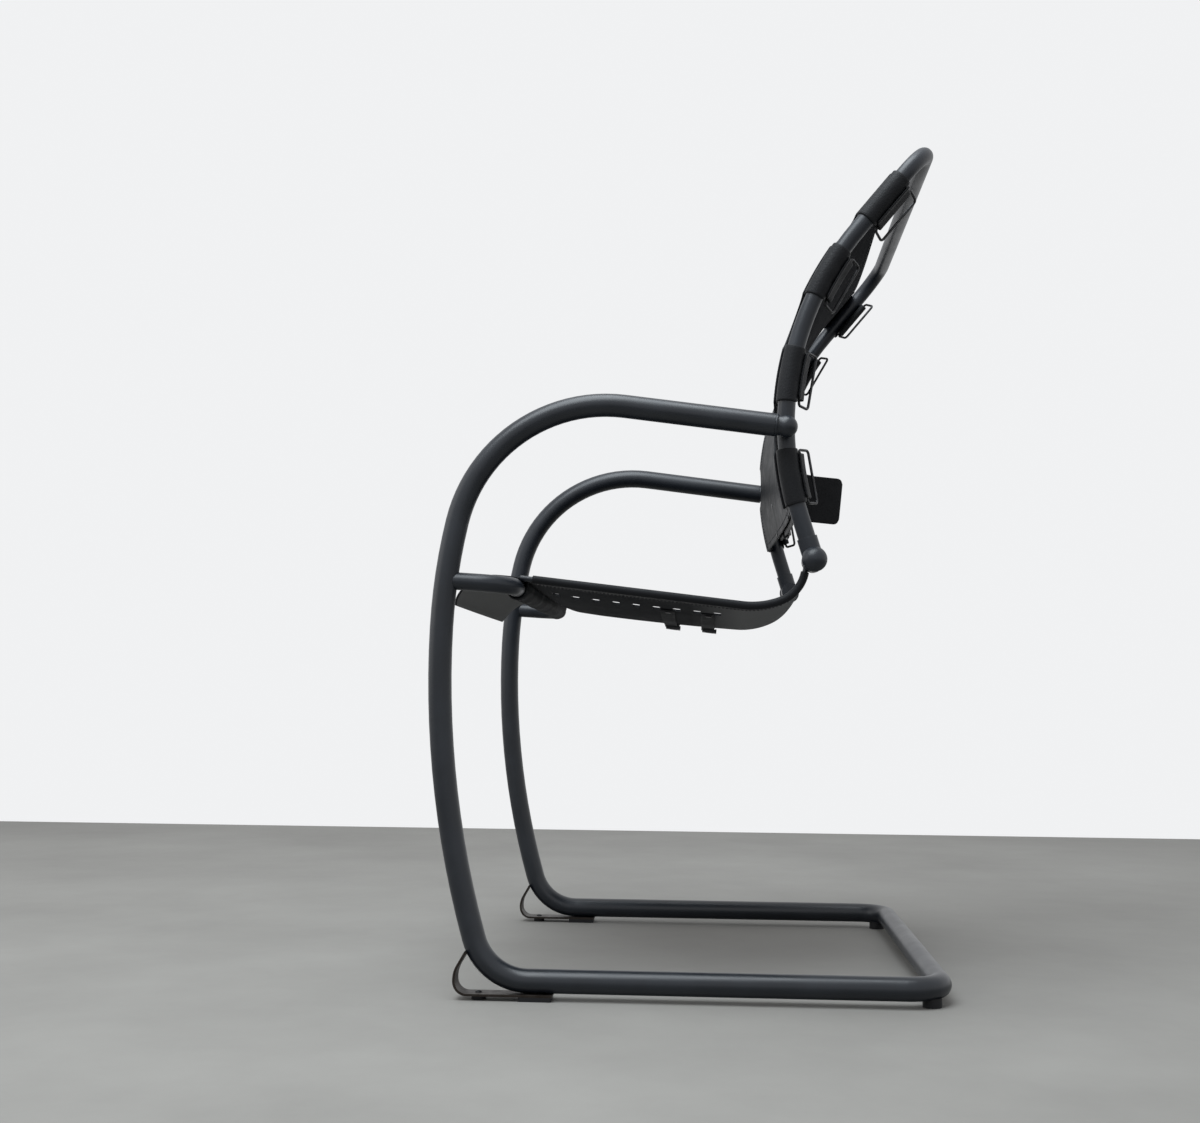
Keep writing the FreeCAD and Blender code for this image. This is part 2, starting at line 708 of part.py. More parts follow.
def seat_surface_point(x, depth):
    """A point on the seat's middle surface, on its straight stretch."""
    share = SEAT_STATIONS[-1][1]
    for (low, first), (high, second) in zip(SEAT_STATIONS, SEAT_STATIONS[1:]):
        if low <= depth <= high:
            share = first + (second - first) * (depth - low) / (high - low)
    fall = math.tan(math.radians(size("rod_slope"))) * (depth - size("rod_start_depth"))
    dip = size("seat_sag") * share * (1 - (x / size("half_rods")) ** 2)
    return Vector(x, depth_to_y(depth), size("rod_start_height") + fall - dip)


def tie_depths():
    return [size("tie_front"), size("tie_rear")]


def seat_normal(x, depth):
    """Upward direction square to the seat's middle surface."""
    across = seat_surface_point(x + 1, depth) - seat_surface_point(x - 1, depth)
    back = seat_surface_point(x, depth + 1) - seat_surface_point(x, depth - 1)
    return across.cross(back).normalize()


def tie_rivet_places():
    """Where the rivets of the ties cross the seat's middle surface, and their axes."""
    x = size("tie_reach") - size("tie_rivet_inset")
    return {(index, side): (seat_surface_point(side * x, depth), seat_normal(side * x, depth))
            for index, depth in enumerate(tie_depths(), start=1) for side in (-1, 1)}


def rivet(name, place, axis, inner, outer):
    """A shank that runs into its two heads, whose inner faces are given along the axis."""
    head = size("rivet_rise")
    low = place + axis * (inner - head)
    length = outer - inner + 2 * head
    shank = cylinder(f"{name}_shank", "rivet_shank", str(length), low, axis)
    heads = [cylinder(f"{name}_low", "rivet_head", "rivet_rise", low, axis),
             cylinder(f"{name}_high", "rivet_head", "rivet_rise", place + axis * outer, axis)]
    return shank, fuse(f"{name}_body", shank, *heads)


def make_seat_leather(cross_tube):
    wires = [helper(f"seat_section_{i}", wire) for i, wire in enumerate(seat_sections())]
    loft = doc.addObject("Part::Loft", "seat_sheet")
    loft.Sections = wires
    loft.Solid = True
    loft.Ruled = False
    hems = []
    rods = []
    slots = []
    for name, side in SIDES.items():
        rod = rod_path(side)
        start, direction = rod.at(size("hem_start"))
        hem = Path(start, direction)
        hem.run(size("rod_run") - size("hem_start"))
        hem.bend(size("rod_low_radius"), size("rod_low_turn"), X_AXIS)
        hem.bend(size("rod_rise_radius"), size("rod_rise_turn") - size("hem_short"), X_AXIS)
        hems.append(swept_rod(f"hem_{name}", hem, "hem_diameter"))
        rods.append(swept_rod(f"rod_in_hem_{name}", rod, "rod_diameter"))
        for index in range(int(size("slot_count"))):
            depth = size("slot_first") + index * size("slot_pitch")
            point = seat_surface_point(side * size("slot_side"), depth)
            slots.append(block(f"slot_{name}_{index}", "slot_long", "slot_wide", "8 * seat_leather",
                               Placement(point, Rotation())))
    stack = size("seat_leather") / 2
    low = -stack - size("tie_leather") - size("tie_gap")
    rivets = {key: rivet(f"tie_rivet_{key[0]}_{key[1]}", place, axis, low, stack)
              for key, (place, axis) in tie_rivet_places().items()}
    shanks = [shank for shank, body in rivets.values()]
    whole = fuse("seat_whole", loft, *hems)
    leather = part(cut("seat_leather", whole, cross_tube, *rods, *slots, *shanks), "seat_leather")
    ties = make_seat_ties(shanks)
    bodies = [body for shank, body in rivets.values()]
    part(cut("seat_tie_rivets", fuse("tie_rivet_bodies", *bodies), leather, *ties), "seat_tie_rivets")


def make_seat_ties(shanks):
    """Two ties across the underside of the seat, each with a flat buckle."""
    half = size("half_rods")
    thickness = size("tie_leather")
    ties = []
    for index, depth in enumerate(tie_depths(), start=1):
        top = seat_surface_point(0, depth)
        sag = seat_surface_point(half, depth).z - top.z
        radius = (half ** 2 + sag ** 2) / (2 * sag)
        turn = math.degrees(size("tie_reach") / radius)
        start = (-radius * math.sin(math.radians(turn)), radius * (1 - math.cos(math.radians(turn))))
        outline = strip_outline(start, -turn, [(radius, 2 * turn)], thickness)
        tilt = Rotation(X_AXIS, size("rod_slope"))
        centre = top - Z_AXIS * (size("seat_leather") / 2 + thickness / 2 + size("tie_gap"))
        blank = padded(f"seat_tie_blank_{index}", "XZ_Plane", outline, "tie_width", Placement(centre, tilt))
        ties.append(part(cut(f"seat_tie_{index}", blank, *shanks), f"seat_tie_{index}"))
        offset = size("buckle_side")
        low = centre - Z_AXIS * (thickness / 2 + size("buckle_high") / 2) - X_AXIS * offset
        low.z += offset ** 2 / (2 * radius)
        place = Placement(low, tilt)
        outer = block(f"buckle_block_{index}", "buckle_wide", "tie_width + 2 * buckle_margin", "buckle_high",
                      place)
        inner = block(f"buckle_hole_{index}", "buckle_wide - 2 * buckle_bar",
                      "tie_width + 2 * buckle_margin - 2 * buckle_bar", "2 * buckle_high", place)
        part(cut(f"seat_tie_buckle_{index}", outer, inner, ties[-1]), f"seat_tie_buckle_{index}")
    return ties


# Back leather, tabs and rings

def tab_stations():
    """Distance of each tab's middle along the left side of the back tube."""
    first = size("back_lower_run") - size("collar_seat")
    bend = size("back_radius") * math.radians(size("back_turn"))
    start = 90 - size("back_lean") - size("back_turn")
    stations = {1: first + bend + TOP_TAB_RUN}
    for number, angle in TABS_ON_BEND.items():
        stations[number] = first + size("back_radius") * math.radians(angle - start)
    return stations


def station_frame(distance, side):
    """Placement at a point of the back tube: Z up along it and Y forward."""
    point, along = back_path().at(distance)
    forward = X_AXIS.cross(along)
    point = Vector(side * point.x, point.y, point.z)
    return Placement(point, Rotation(forward.cross(along), forward, along, "ZXY"))


def back_sheet_section(distance):
    """Section of the back leather in the plane square to the tubes."""
    point, along = back_path().at(distance)
    forward = X_AXIS.cross(along)
    thickness = size("back_leather")
    half = size("half_back") - size("panel_edge")
    lift = size("back_tube") / 2 + thickness / 2
    centre = Vector(0, point.y, point.z)
    faces = []
    for offset in (thickness / 2, -thickness / 2):
        edge = forward * (lift + offset)
        middle = forward * (lift + offset - size("back_sag"))
        faces.append((centre + X_AXIS * half + edge, centre + middle, centre - X_AXIS * half + edge))
    front, rear = faces
    edges = [Part.Arc(*front), Part.LineSegment(front[2], rear[2]),
             Part.Arc(rear[2], rear[1], rear[0]), Part.LineSegment(rear[0], front[0])]
    return Part.Wire([edge.toShape() for edge in edges])


def arc_cutter(name, frame, chord, rise, at_x, sign):
    """A drum whose rim cuts an arc of this chord and rise into an edge."""
    radius = (chord ** 2 / 4 + rise ** 2) / (2 * rise)
    offset = Vector(at_x + sign * (radius - rise), 0, 0)
    centre = frame.multiply(Placement(offset, Rotation(X_AXIS, -90)))
    drum = doc.addObject("Part::Cylinder", name)
    drum.Radius = radius
    drum.Height = DRUM_HEIGHT
    drum.Placement = centre.multiply(Placement(Vector(0, 0, -DRUM_HEIGHT / 2), Rotation()))
    return drum


def make_back_leather(shanks):
    stations = tab_stations()
    half_tab = size("tab_length") / 2
    bottom = stations[4] - half_tab
    top = stations[1] + half_tab
    count = 11
    spread = [bottom + (top - bottom) * i / (count - 1) for i in range(count)]
    wires = [helper(f"back_section_{i}", back_sheet_section(distance)) for i, distance in enumerate(spread)]
    loft = doc.addObject("Part::Loft", "back_sheet")
    loft.Sections = wires
    loft.Solid = True
    loft.Ruled = False
    cutters = []
    for name, side in SIDES.items():
        for upper, lower in ((1, 2), (2, 3), (3, 4)):
            gap = stations[upper] - stations[lower] - size("tab_length")
            frame = station_frame((stations[upper] + stations[lower]) / 2, side)
            edge = side * size("panel_edge")
            cutters.append(arc_cutter(f"scallop_{name}_{upper}", frame, gap, size("scallop_dip"), edge, -side))
    half = size("half_back") - size("panel_edge")
    for name, distance, rise, sign in (("top_cut", top, size("top_dip"), 1),
                                       ("bottom_cut", bottom, size("bottom_dip"), -1)):
        point, along = back_path().at(distance)
        forward = X_AXIS.cross(along)
        radius = (half ** 2 + rise ** 2) / (2 * rise)
        drum = doc.addObject("Part::Cylinder", name)
        drum.Radius = radius
        drum.Height = DRUM_HEIGHT
        centre = Vector(0, point.y, point.z) + along * (sign * (radius - rise)) - forward * DRUM_HEIGHT / 2
        drum.Placement = Placement(centre, Rotation(Z_AXIS, forward))
        cutters.append(drum)
    return part(cut("back_leather", loft, *cutters, *shanks), "back_leather")


def tab_outline(flip):
    """The tab's path: over the tube, round behind it and back round the ring."""
    thickness = size("tab_leather")
    around = size("back_tube") / 2 + thickness / 2
    fold = size("ring_wire") / 2 + size("ring_play") + thickness / 2
    close = 25.0
    settle = 4.0
    apart = thickness + size("layer_gap")
    rise = 2 * fold - apart - (fold + settle) * (1 - math.cos(math.radians(close)))
    steps = [(size("panel_edge"),), (around, -180), (size("fold_reach"),), (fold, 180 + close),
             (rise / math.sin(math.radians(close)),), (settle, -close), (6.0,)]
    return strip_outline((-size("panel_edge"), around), 0, steps, thickness, flip)


def swept_tab(name, distance, side):
    """A tab that follows the back tube, straight or bent, over its length."""
    half = size("tab_length") / 2
    ends = [station_frame(distance + step, side) for step in (-half, 0, half)]
    points = [frame.Base for frame in ends]
    straight = ends[0].Rotation.isSame(ends[2].Rotation, 1e-6)
    route = Part.LineSegment(points[0], points[2]) if straight else Part.Arc(*points)
    edges = [edge.toShape() for edge in tab_outline(-side)]
    outline = Part.Wire(Part.sortEdges(edges)[0])
    outline.Placement = ends[0]
    sweep = doc.addObject("Part::Sweep", f"tab_blank_{name}")
    sweep.Sections = [helper(f"tab_outline_{name}", outline)]
    sweep.Spine = (helper(f"tab_route_{name}", Part.Wire([route.toShape()])), ["Edge1"])
    sweep.Solid = True
    sweep.Frenet = False
    return sweep


def tab_trims(name, frame, flip):
    """Blocks that shorten the fold at both ends, so that the ring swings clear."""
    rear_face = size("back_tube") / 2 + size("tab_leather")
    over = 10.0
    clear = 0.8
    inset = 2.0
    trims = []
    for end in (-1, 1):
        height = end * (size("tab_fold") / 2 + over / 2)
        behind = Vector(-flip * size("fold_reach"), -rear_face - over - clear, height)
        beside = Vector(-flip * (size("fold_reach") - inset + over), -rear_face, height)
        trims.append(block(f"tab_trim_rear_{name}_{end}", "40", str(2 * over), str(over),
                           frame.multiply(Placement(behind, Rotation()))))
        trims.append(block(f"tab_trim_side_{name}_{end}", str(2 * over), str(2 * over), str(over),
                           frame.multiply(Placement(beside, Rotation()))))
    return trims


def ring_axis_offset(number, flip):
    """The ring's axis in the frame of its tab, set back in a bent fold."""
    around = size("back_tube") / 2 + size("tab_leather") / 2
    fold = size("ring_wire") / 2 + size("ring_play") + size("tab_leather") / 2
    bow = size("tab_fold") ** 2 / (8 * size("back_radius")) if number in TABS_ON_BEND else 0
    return Vector(-flip * size("fold_reach"), -(around + fold) - bow / 2, 0)


def ring_path():
    """The ring's centre line: its held side lies on Z and it reaches along -X."""
    wire = size("ring_wire")
    tall = size("ring_long") - wire
    wide = size("ring_wide") - wire
    corner = size("ring_corner")
    path = Path(Vector(0, 0, 0), Z_AXIS)
    path.run(tall / 2 - corner)
    for length in (wide, tall, wide):
        path.bend(corner, -90, Y_AXIS)
        path.run(length - 2 * corner)
    path.bend(corner, -90, Y_AXIS)
    path.run(tall / 2 - corner)
    return path


def make_tabs_and_rings():
    for name, side in SIDES.items():
        flip = -side
        for number, distance in sorted(tab_stations().items()):
            frame = station_frame(distance, side)
            tab = swept_tab(f"{name}_{number}", distance, side)
            trims = tab_trims(f"{name}_{number}", frame, flip)
            part(cut(f"back_tab_{name}_{number}", tab, *trims), f"back_tab_{name}_{number}")
            ring = swept_rod(f"ring_blank_{name}_{number}", ring_path(), "ring_wire")
            swing = Rotation(Z_AXIS, flip * size("ring_rest"))
            reach = Rotation(Z_AXIS, 0 if flip > 0 else 180)
            local = Placement(ring_axis_offset(number, flip), swing.multiply(reach))
            holder = doc.addObject("Part::MultiFuse", f"ring_{name}_{number}")
            holder.Shapes = [ring, ball(f"ring_seam_{name}_{number}", "ring_wire", Vector(0, 0, 0))]
            holder.Placement = frame.multiply(local)
            part(holder, f"ring_{name}_{number}")


def lumbar_frame():
    """At the middle of the lowest tabs: X to the sitter's right, Y forward."""
    frame = station_frame(tab_stations()[4], 1)
    base = Vector(0, frame.Base.y, frame.Base.z)
    return Placement(base, frame.Rotation)


def strap_line():
    """Radius of the strap's line behind the back leather, and its Y at X = 0."""
    half = size("half_back") - size("panel_edge")
    sag = size("back_sag")
    radius = (half ** 2 + sag ** 2) / (2 * sag)
    behind = size("back_tube") / 2 - sag - size("strap_gap") - size("strap_leather") / 2
    return radius + size("strap_gap") + size("strap_leather") / 2, behind


def strap_point(x):
    radius, behind = strap_line()
    return Vector(x, behind + radius - math.sqrt(radius ** 2 - x ** 2), 0)


def fold_steps(lead, turn_sign, radius, thickness):
    """A doubled end: the outer layer, the turn round a wire and the way back."""
    close = 20.0
    settle = 4.0
    apart = thickness + size("layer_gap")
    rise = 2 * radius - apart - (radius + settle) * (1 - math.cos(math.radians(close)))
    return [(lead,), (settle, -turn_sign * close), (rise / math.sin(math.radians(close)),),
            (radius, turn_sign * (180 + close))]


def make_lumbar_strap():
    thickness = size("strap_leather")
    fold = size("ring_wire") / 2 + size("ring_play") + thickness / 2
    radius = strap_line()[0]
    frame = lumbar_frame()
    wide = size("ring_wide") - size("ring_wire")
    rivets = []
    for name, x in (("strap", -size("strap_rivets")),
                    ("anchor", size("strap_fold") + wide + size("anchor_rivets"))):
        for end in (-1, 1):
            point = strap_point(x)
            place = frame.multVec(point + Z_AXIS * (end * size("strap_width") * 0.35))
            behind = Vector(point.x, -math.sqrt(radius ** 2 - point.x ** 2), 0).normalize()
            reach = thickness / 2
            front = reach + size("strap_gap") + size("back_leather") - size("rivet_rise") / 2
            rivets.append(rivet(f"lumbar_rivet_{name}_{end}", place, frame.Rotation.multVec(behind), -front,
                                reach))
    shanks = [shank for shank, body in rivets]
    leather = make_back_leather(shanks)

    # The strap starts at the tip of its doubled end and ends with its loose end
    x = size("strap_fold")
    tilt = math.degrees(math.asin(x / radius))
    sweep = tilt + math.degrees(math.asin((size("strap_turn") - size("strap_corner")) / radius))
    steps = fold_steps(STRAP_LEAD, 1, fold, thickness) + [(radius, -sweep)]
    steps += [(size("strap_corner"), 90 + sweep - tilt), (size("strap_flap"),)]
    held = strap_point(x) + Vector(0, -fold, 0)
    start = doubled_start(held, STRAP_LEAD, 1, fold, thickness, tilt)
    outline = strip_outline(start, tilt, steps, thickness)
    blank = padded("lumbar_strap_blank", "XY_Plane", outline, "strap_width", frame)
    strap = part(cut("lumbar_strap", blank, *shanks), "lumbar_strap")

    # The anchor holds the ring's other side
    held_far = held + Vector(wide * math.cos(math.radians(tilt)), wide * math.sin(math.radians(tilt)), 0)
    steps = fold_steps(ANCHOR_LEAD, -1, fold, thickness) + [(size("anchor_run"),)]
    start = doubled_start(held_far, ANCHOR_LEAD, -1, fold, thickness, tilt)
    outline = strip_outline(start, 180 + tilt, steps, thickness)
    blank = padded("lumbar_anchor_blank", "XY_Plane", outline, "strap_width", frame)
    anchor = part(cut("lumbar_anchor", blank, *shanks), "lumbar_anchor")

    ring = doc.addObject("Part::MultiFuse", "lumbar_ring")
    ring.Shapes = [swept_rod("lumbar_ring_wire", ring_path(), "ring_wire"),
                   ball("lumbar_ring_seam", "ring_wire", Vector(0, 0, 0))]
    ring.Placement = frame.multiply(Placement(held, Rotation(Z_AXIS, 180 + tilt)))
    part(ring, "lumbar_ring")
    bodies = [body for shank, body in rivets]
    part(cut("lumbar_rivets", fuse("lumbar_rivet_bodies", *bodies), leather, strap, anchor), "lumbar_rivets")


def doubled_start(held, lead, turn_sign, radius, thickness, tilt):
    """Start of a doubled end whose turn is centred on the held wire."""
    path = Path(Vector(0, 0, 0), X_AXIS * turn_sign)
    for step in fold_steps(lead, turn_sign, radius, thickness)[:-1]:
        if len(step) == 1:
            path.run(step[0])
        else:
            path.bend(step[0], step[1], Z_AXIS)
    centre = path.pos + Z_AXIS.cross(path.dir) * turn_sign * radius
    start = held - Rotation(Z_AXIS, tilt).multVec(centre)
    return (start.x, start.y)


# Feet

def make_feet():
    pad_height = SPRING_BOTTOM + 1
    screws = []
    for name, side in SIDES.items():
        x = side * size("half_track")
        leg = swept_rod(f"leg_over_spring_{name}", FRAME_PATHS[name], "frame_tube")
        hole = cylinder(f"foot_screw_shank_{name}", "foot_screw", "runner_height - 8",
                        foot_screw_place(side) + Z_AXIS * 1.5, Z_AXIS)
        start = (depth_to_y(SPRING_START[0]), SPRING_START[1])
        outline = strip_outline(start, SPRING_HEADING, SPRING_STEPS, size("strip_thick"))
        blank = padded(f"foot_spring_blank_{name}", "YZ_Plane", outline, "strip_width",
                       Placement(Vector(x, 0, 0), Rotation()))
        spring = part(cut(f"foot_spring_{name}", blank, leg, hole), f"foot_spring_{name}")
        base = Vector(x, depth_to_y(size("glide_depth")), 0)
        glide = cylinder(f"front_glide_blank_{name}", "glide_diameter", str(pad_height), base, Z_AXIS)
        part(cut(f"front_glide_{name}", glide, spring), f"front_glide_{name}")
        middle = foot_screw_place(side) + Z_AXIS * pad_height / 2
        pad = block(f"heel_pad_blank_{name}", "strip_width", "pad_length", str(pad_height),
                    Placement(middle, Rotation()))
        sink = cylinder(f"foot_screw_sink_{name}", "foot_screw_head", "3", foot_screw_place(side), Z_AXIS)
        part(cut(f"heel_pad_{name}", pad, spring, hole, sink), f"heel_pad_{name}")
        head = cylinder(f"foot_screw_head_{name}", "foot_screw_head", "1.8",
                        foot_screw_place(side) + Z_AXIS * 1.2, Z_AXIS)
        screws.append(fuse(f"foot_screw_{name}", hole, head))
        place = rear_glide_place(side)
        disc = cylinder(f"rear_glide_disc_{name}", "rear_glide", "runner_height / 2", place, Z_AXIS)
        pin = cylinder(f"rear_glide_pin_{name}", "glide_pin", "runner_height - 6", place, Z_AXIS)
        tube = [obj for obj in PARTS if obj.Label == f"main_frame_{name}"]
        part(cut(f"rear_glide_{name}", fuse(f"rear_glide_blank_{name}", disc, pin), *tube), f"rear_glide_{name}")
    part(fuse("foot_screws", *screws), "foot_screws")


def main():
    make_main_frame()
    make_back_frame()
    make_arm_joints()
    cross_tube = make_seat_frame()
    make_knuckles()
    make_seat_leather(cross_tube)
    make_lumbar_strap()
    make_tabs_and_rings()
    make_feet()
    doc.recompute()
    write_parts()


def write_parts():
    """Checks every object of the document and writes each sub-part's file."""
    faults = [f"{obj.Label} {obj.State}" for obj in doc.Objects
              if any(word in obj.State for word in ("Invalid", "Error"))]
    for obj in PARTS:
        shape = obj.Shape
        if shape.isNull() or not shape.isValid() or not shape.Solids:
            faults.append(f"{obj.Label} has no valid solid")
    if faults:
        raise RuntimeError("; ".join(faults))
    os.makedirs("parts", exist_ok=True)
    for obj in PARTS:
        obj.Shape.exportStep(f"parts/{obj.Label}.step")
        print(f"{obj.Label:24} solids {len(obj.Shape.Solids):3} volume {obj.Shape.Volume:12.1f}")


main()
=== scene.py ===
import json
import math
import random

import bpy
import numpy as np
from mathutils import Matrix, Vector


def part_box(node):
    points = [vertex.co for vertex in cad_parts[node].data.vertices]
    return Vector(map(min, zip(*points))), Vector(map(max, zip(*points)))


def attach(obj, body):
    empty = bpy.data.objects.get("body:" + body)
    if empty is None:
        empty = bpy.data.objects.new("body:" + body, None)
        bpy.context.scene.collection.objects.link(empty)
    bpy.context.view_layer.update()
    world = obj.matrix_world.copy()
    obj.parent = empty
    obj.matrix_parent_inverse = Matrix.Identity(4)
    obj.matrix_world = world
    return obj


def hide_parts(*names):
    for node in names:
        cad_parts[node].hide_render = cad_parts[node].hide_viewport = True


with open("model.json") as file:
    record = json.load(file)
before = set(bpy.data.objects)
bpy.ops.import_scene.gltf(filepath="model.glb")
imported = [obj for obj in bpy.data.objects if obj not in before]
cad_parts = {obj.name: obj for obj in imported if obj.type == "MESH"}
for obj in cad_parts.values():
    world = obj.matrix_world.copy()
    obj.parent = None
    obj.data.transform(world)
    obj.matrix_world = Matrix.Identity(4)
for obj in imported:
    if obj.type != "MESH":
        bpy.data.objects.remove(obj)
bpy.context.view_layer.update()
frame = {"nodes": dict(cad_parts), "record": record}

# A cantilever chair. Metres, in the frame's axes: X to the sitter's left, the
# chair faces -Y and Z is up. The routes of the back tube, rods and lip run in the
# side plane, with Y as their first coordinate and Z as their second, and 0 degrees
# points to the rear.

MM = 0.001
SIDES = {"left": 1, "right": -1}
FRONT_LINE = -264.15 * MM
HALF_TRACK = 283.0 * MM

# Back tube, as its centre line climbs from the lower knuckle
HALF_BACK = 261.5 * MM
BACK_TUBE = 19.0 * MM
BACK_RADIUS = 336.0 * MM
BACK_TURN = 57.0
BACK_LEAN = 50.0
BACK_LOWER_RUN = 50.0 * MM
BACK_UPPER_RUN = 120.3 * MM
KNUCKLE = (FRONT_LINE + 398.1 * MM, 463.5 * MM)

# Tabs: the middle of each, as degrees above the level of the bend's centre
TABS_ON_BEND = {2: 30.0, 3: 9.5, 4: -9.7}
TOP_TAB_RUN = 43.0 * MM
TAB_LENGTH = 59.0 * MM
TAB_LEATHER = 2.2 * MM
TAB_OVERLAP = 15.0 * MM
TAB_GRID = (30, 84)
# Half the length of the bend between the back leather's slope and the tube
TAB_EASE = 2.0 * MM
# A tab narrows to its fold's length where it leaves the tube
TAB_FOLD = 50.0 * MM
NARROW_EARLY = 3.0 * MM
NARROW_RUN = 9.0 * MM
# Soft ripples in a tab, strongest where it leaves the tube, and how far their wave
# runs in radians from the tab's middle to its end
RIPPLE = 0.22 * MM
RIPPLE_ANGLE = 9.0
RIPPLE_REACH = 12.0 * MM
TAB_STITCH_INSET = 2.5 * MM
PANEL_STITCH_INSETS = {"edge": 3.5 * MM, "inset": 10.5 * MM}
# Points of a stitch row along a tab, as shares of its half length
TAB_STITCH_SHARES = np.linspace(-0.9, 0.9, 24)

# Leather turned back round a ring's wire
RING_WIRE = 3.0 * MM
RING_PLAY = 0.8 * MM
RING_WIDE = 24.0 * MM
LAYER_GAP = 0.3 * MM
FOLD_REACH = 12.0 * MM
FOLD_SETTLE = 4.0 * MM
FOLD_TAIL = 6.0 * MM
# Degrees past half a turn, after which the leather lies down on itself
TAB_CLOSE = 25.0
STRAP_CLOSE = 20.0

# Back leather, which lies on the tabs and is pulled by them
BACK_LEATHER = 2.5 * MM
BACK_SAG = 16.8 * MM
PANEL_EDGE = 12.0 * MM
PANEL_HALF = HALF_BACK - PANEL_EDGE
PANEL_LIFT = BACK_TUBE / 2 + TAB_LEATHER + BACK_LEATHER / 2
PANEL_GRID = (200, 141)
TOP_DIP = 35.0 * MM
BOTTOM_DIP = 10.0 * MM
SCALLOP = 14.0 * MM
SCALLOP_POWER = 1.25
# How steeply the scallops' pinch falls off towards the middle
PINCH_POWER = 10
# Soft pulls at the tabs, which widen and fade from the edge to the middle
PULL_RISE = 1.1 * MM
PULL_STEP = 60.0 * MM
PULL_STEPS = 3
PULL_FADE = 1.6
PULL_HALF = 13.0 * MM
PULL_WIDENS = 9.0 * MM
# Share of its rectangle that the dips and scallops leave
PANEL_STITCH_HALF = 236.0 * MM
PANEL_STITCH_END = 6.0 * MM

# Lumbar strap behind the back leather
STRAP_LEATHER = 2.0 * MM
STRAP_WIDTH = 54.0 * MM
STRAP_FLAP = 54.0 * MM
STRAP_TURN = 73.0 * MM
STRAP_BEND = 6.0 * MM
STRAP_FOLD = 102.0 * MM
STRAP_GAP = 1.5 * MM
STRAP_LEAD = 9.0 * MM
STRAP_STEP = 1.6 * MM
STRAP_COLUMNS = 21
FLAP_CORNER = 6.0 * MM
FLAP_BOW = 1.6 * MM
FLAP_BOW_RUN = 60.0 * MM
FLAP_DROOP = math.radians(-15.5)
FLAP_TWIST = 20.0 * MM
ANCHOR_LEAD = 7.0 * MM
ANCHOR_RUN = 34.0 * MM
ANCHOR_CORNER = 2.0 * MM

# Seat: the rods, the leather sling and its front lip
HALF_RODS = 243.0 * MM
ROD_RADIUS = 3.0 * MM
ROD_DEPTH = 80.0 * MM
ROD_START = (FRONT_LINE + ROD_DEPTH, 444.7 * MM)
ROD_SLOPE = -6.75
ROD_STEPS = [(243.7 * MM,), (90.0 * MM, 26.75), (41.0 * MM, 57.0), (8.0 * MM,)]
SEAT_LEATHER = 2.5 * MM
SEAT_SAG = 17.0 * MM
SEAT_FRONT = -92.0 * MM
SEAT_REAR = 315.7 * MM
SEAT_GRID = (150, 121)
# Distance behind the rods' start in millimetres, and the share of the full sag
SAG_SHARES = [(-92, 0.0), (-6, 0.01), (0, 0.04), (7, 0.22), (20, 0.65), (38, 0.94), (70, 1.0), (111, 1.0),
              (151, 0.97), (191, 0.90), (227, 0.82), (252, 0.74), (274, 0.62), (290, 0.50), (304, 0.36),
              (316, 0.24)]
# The same distance, and half the width of the leather there, in millimetres
HALF_WIDTHS = [(-92, 190), (-88, 202), (-80, 209), (-66, 214), (-50, 218), (-34, 226), (-20, 236), (-6, 240),
               (40, 240), (316, 240)]
LIP_START = 6.0 * MM
LIP_STEPS = [(22.0 * MM,), (50.0 * MM, 68.75), (9.0 * MM,)]
LIP_DROOP = 2.2 * MM
LIP_DROOP_START = 30.0 * MM
LIP_DROOP_RUN = 62.0 * MM
LIP_DROOP_HALF = 210.0 * MM
LIP_STITCH_INSET = 6.0 * MM
LIP_STITCH_HALF = 192.0 * MM
SLOT_FIRST = 112.5 * MM
SLOT_PITCH = 23.0 * MM
SLOT_COUNT = 9
SLOT_SIDE = 163.0 * MM
SLOT_LONG = 22.0 * MM
SLOT_WIDE = 9.0 * MM
SLOT_CORNER = 2.6 * MM
CUTTER_HEIGHT = 12.0 * MM
CORNER_STEPS = 5

# Hems, folded round the rods
HEM_LEATHER = 1.4 * MM
HEM_START = 14.0 * MM
HEM_END = 328.0 * MM
HEM_ROWS = 110
HEM_COLUMNS = 16
HEM_TURN_STEPS = 13
HEM_INNER = 222.0 * MM
HEM_RISES = 229.0 * MM
HEM_CLEAR = 0.1 * MM
HEM_SHORT = 1.5 * MM
HEM_STITCH_INSET = 4.0 * MM
HEM_STITCH_END = 3.0 * MM

# Cross tube, and the seat's leather round it, from SLEEVE_FROM to SLEEVE_TO degrees
CROSS_TUBE = 19.0 * MM
CROSS_DEPTH = 74.0 * MM
CROSS_HEIGHT = 434.5 * MM
SLEEVE_HALF = 224.0 * MM
SLEEVE_LEATHER = 1.6 * MM
SLEEVE_GAP = 0.5 * MM
SLEEVE_FROM = 158
SLEEVE_TO = 392
SLEEVE_FLARE = 2.5 * MM
SLEEVE_GRID = (180, 40)
CUFF_LENGTH = 22.0 * MM
CUFF_RISE = 0.9 * MM
CUFF_RATE = 0.9
# Ripples along it: their number, radians for each metre, heights in millimetres, radians
# of lean for each degree round the tube, and the share of their sum that is used
SLEEVE_WAVES = 6
WAVE_RATES = (60, 210)
WAVE_HEIGHTS = (0.1, 0.28)
WAVE_LEAN = 0.03
WAVE_SHARE = 0.8

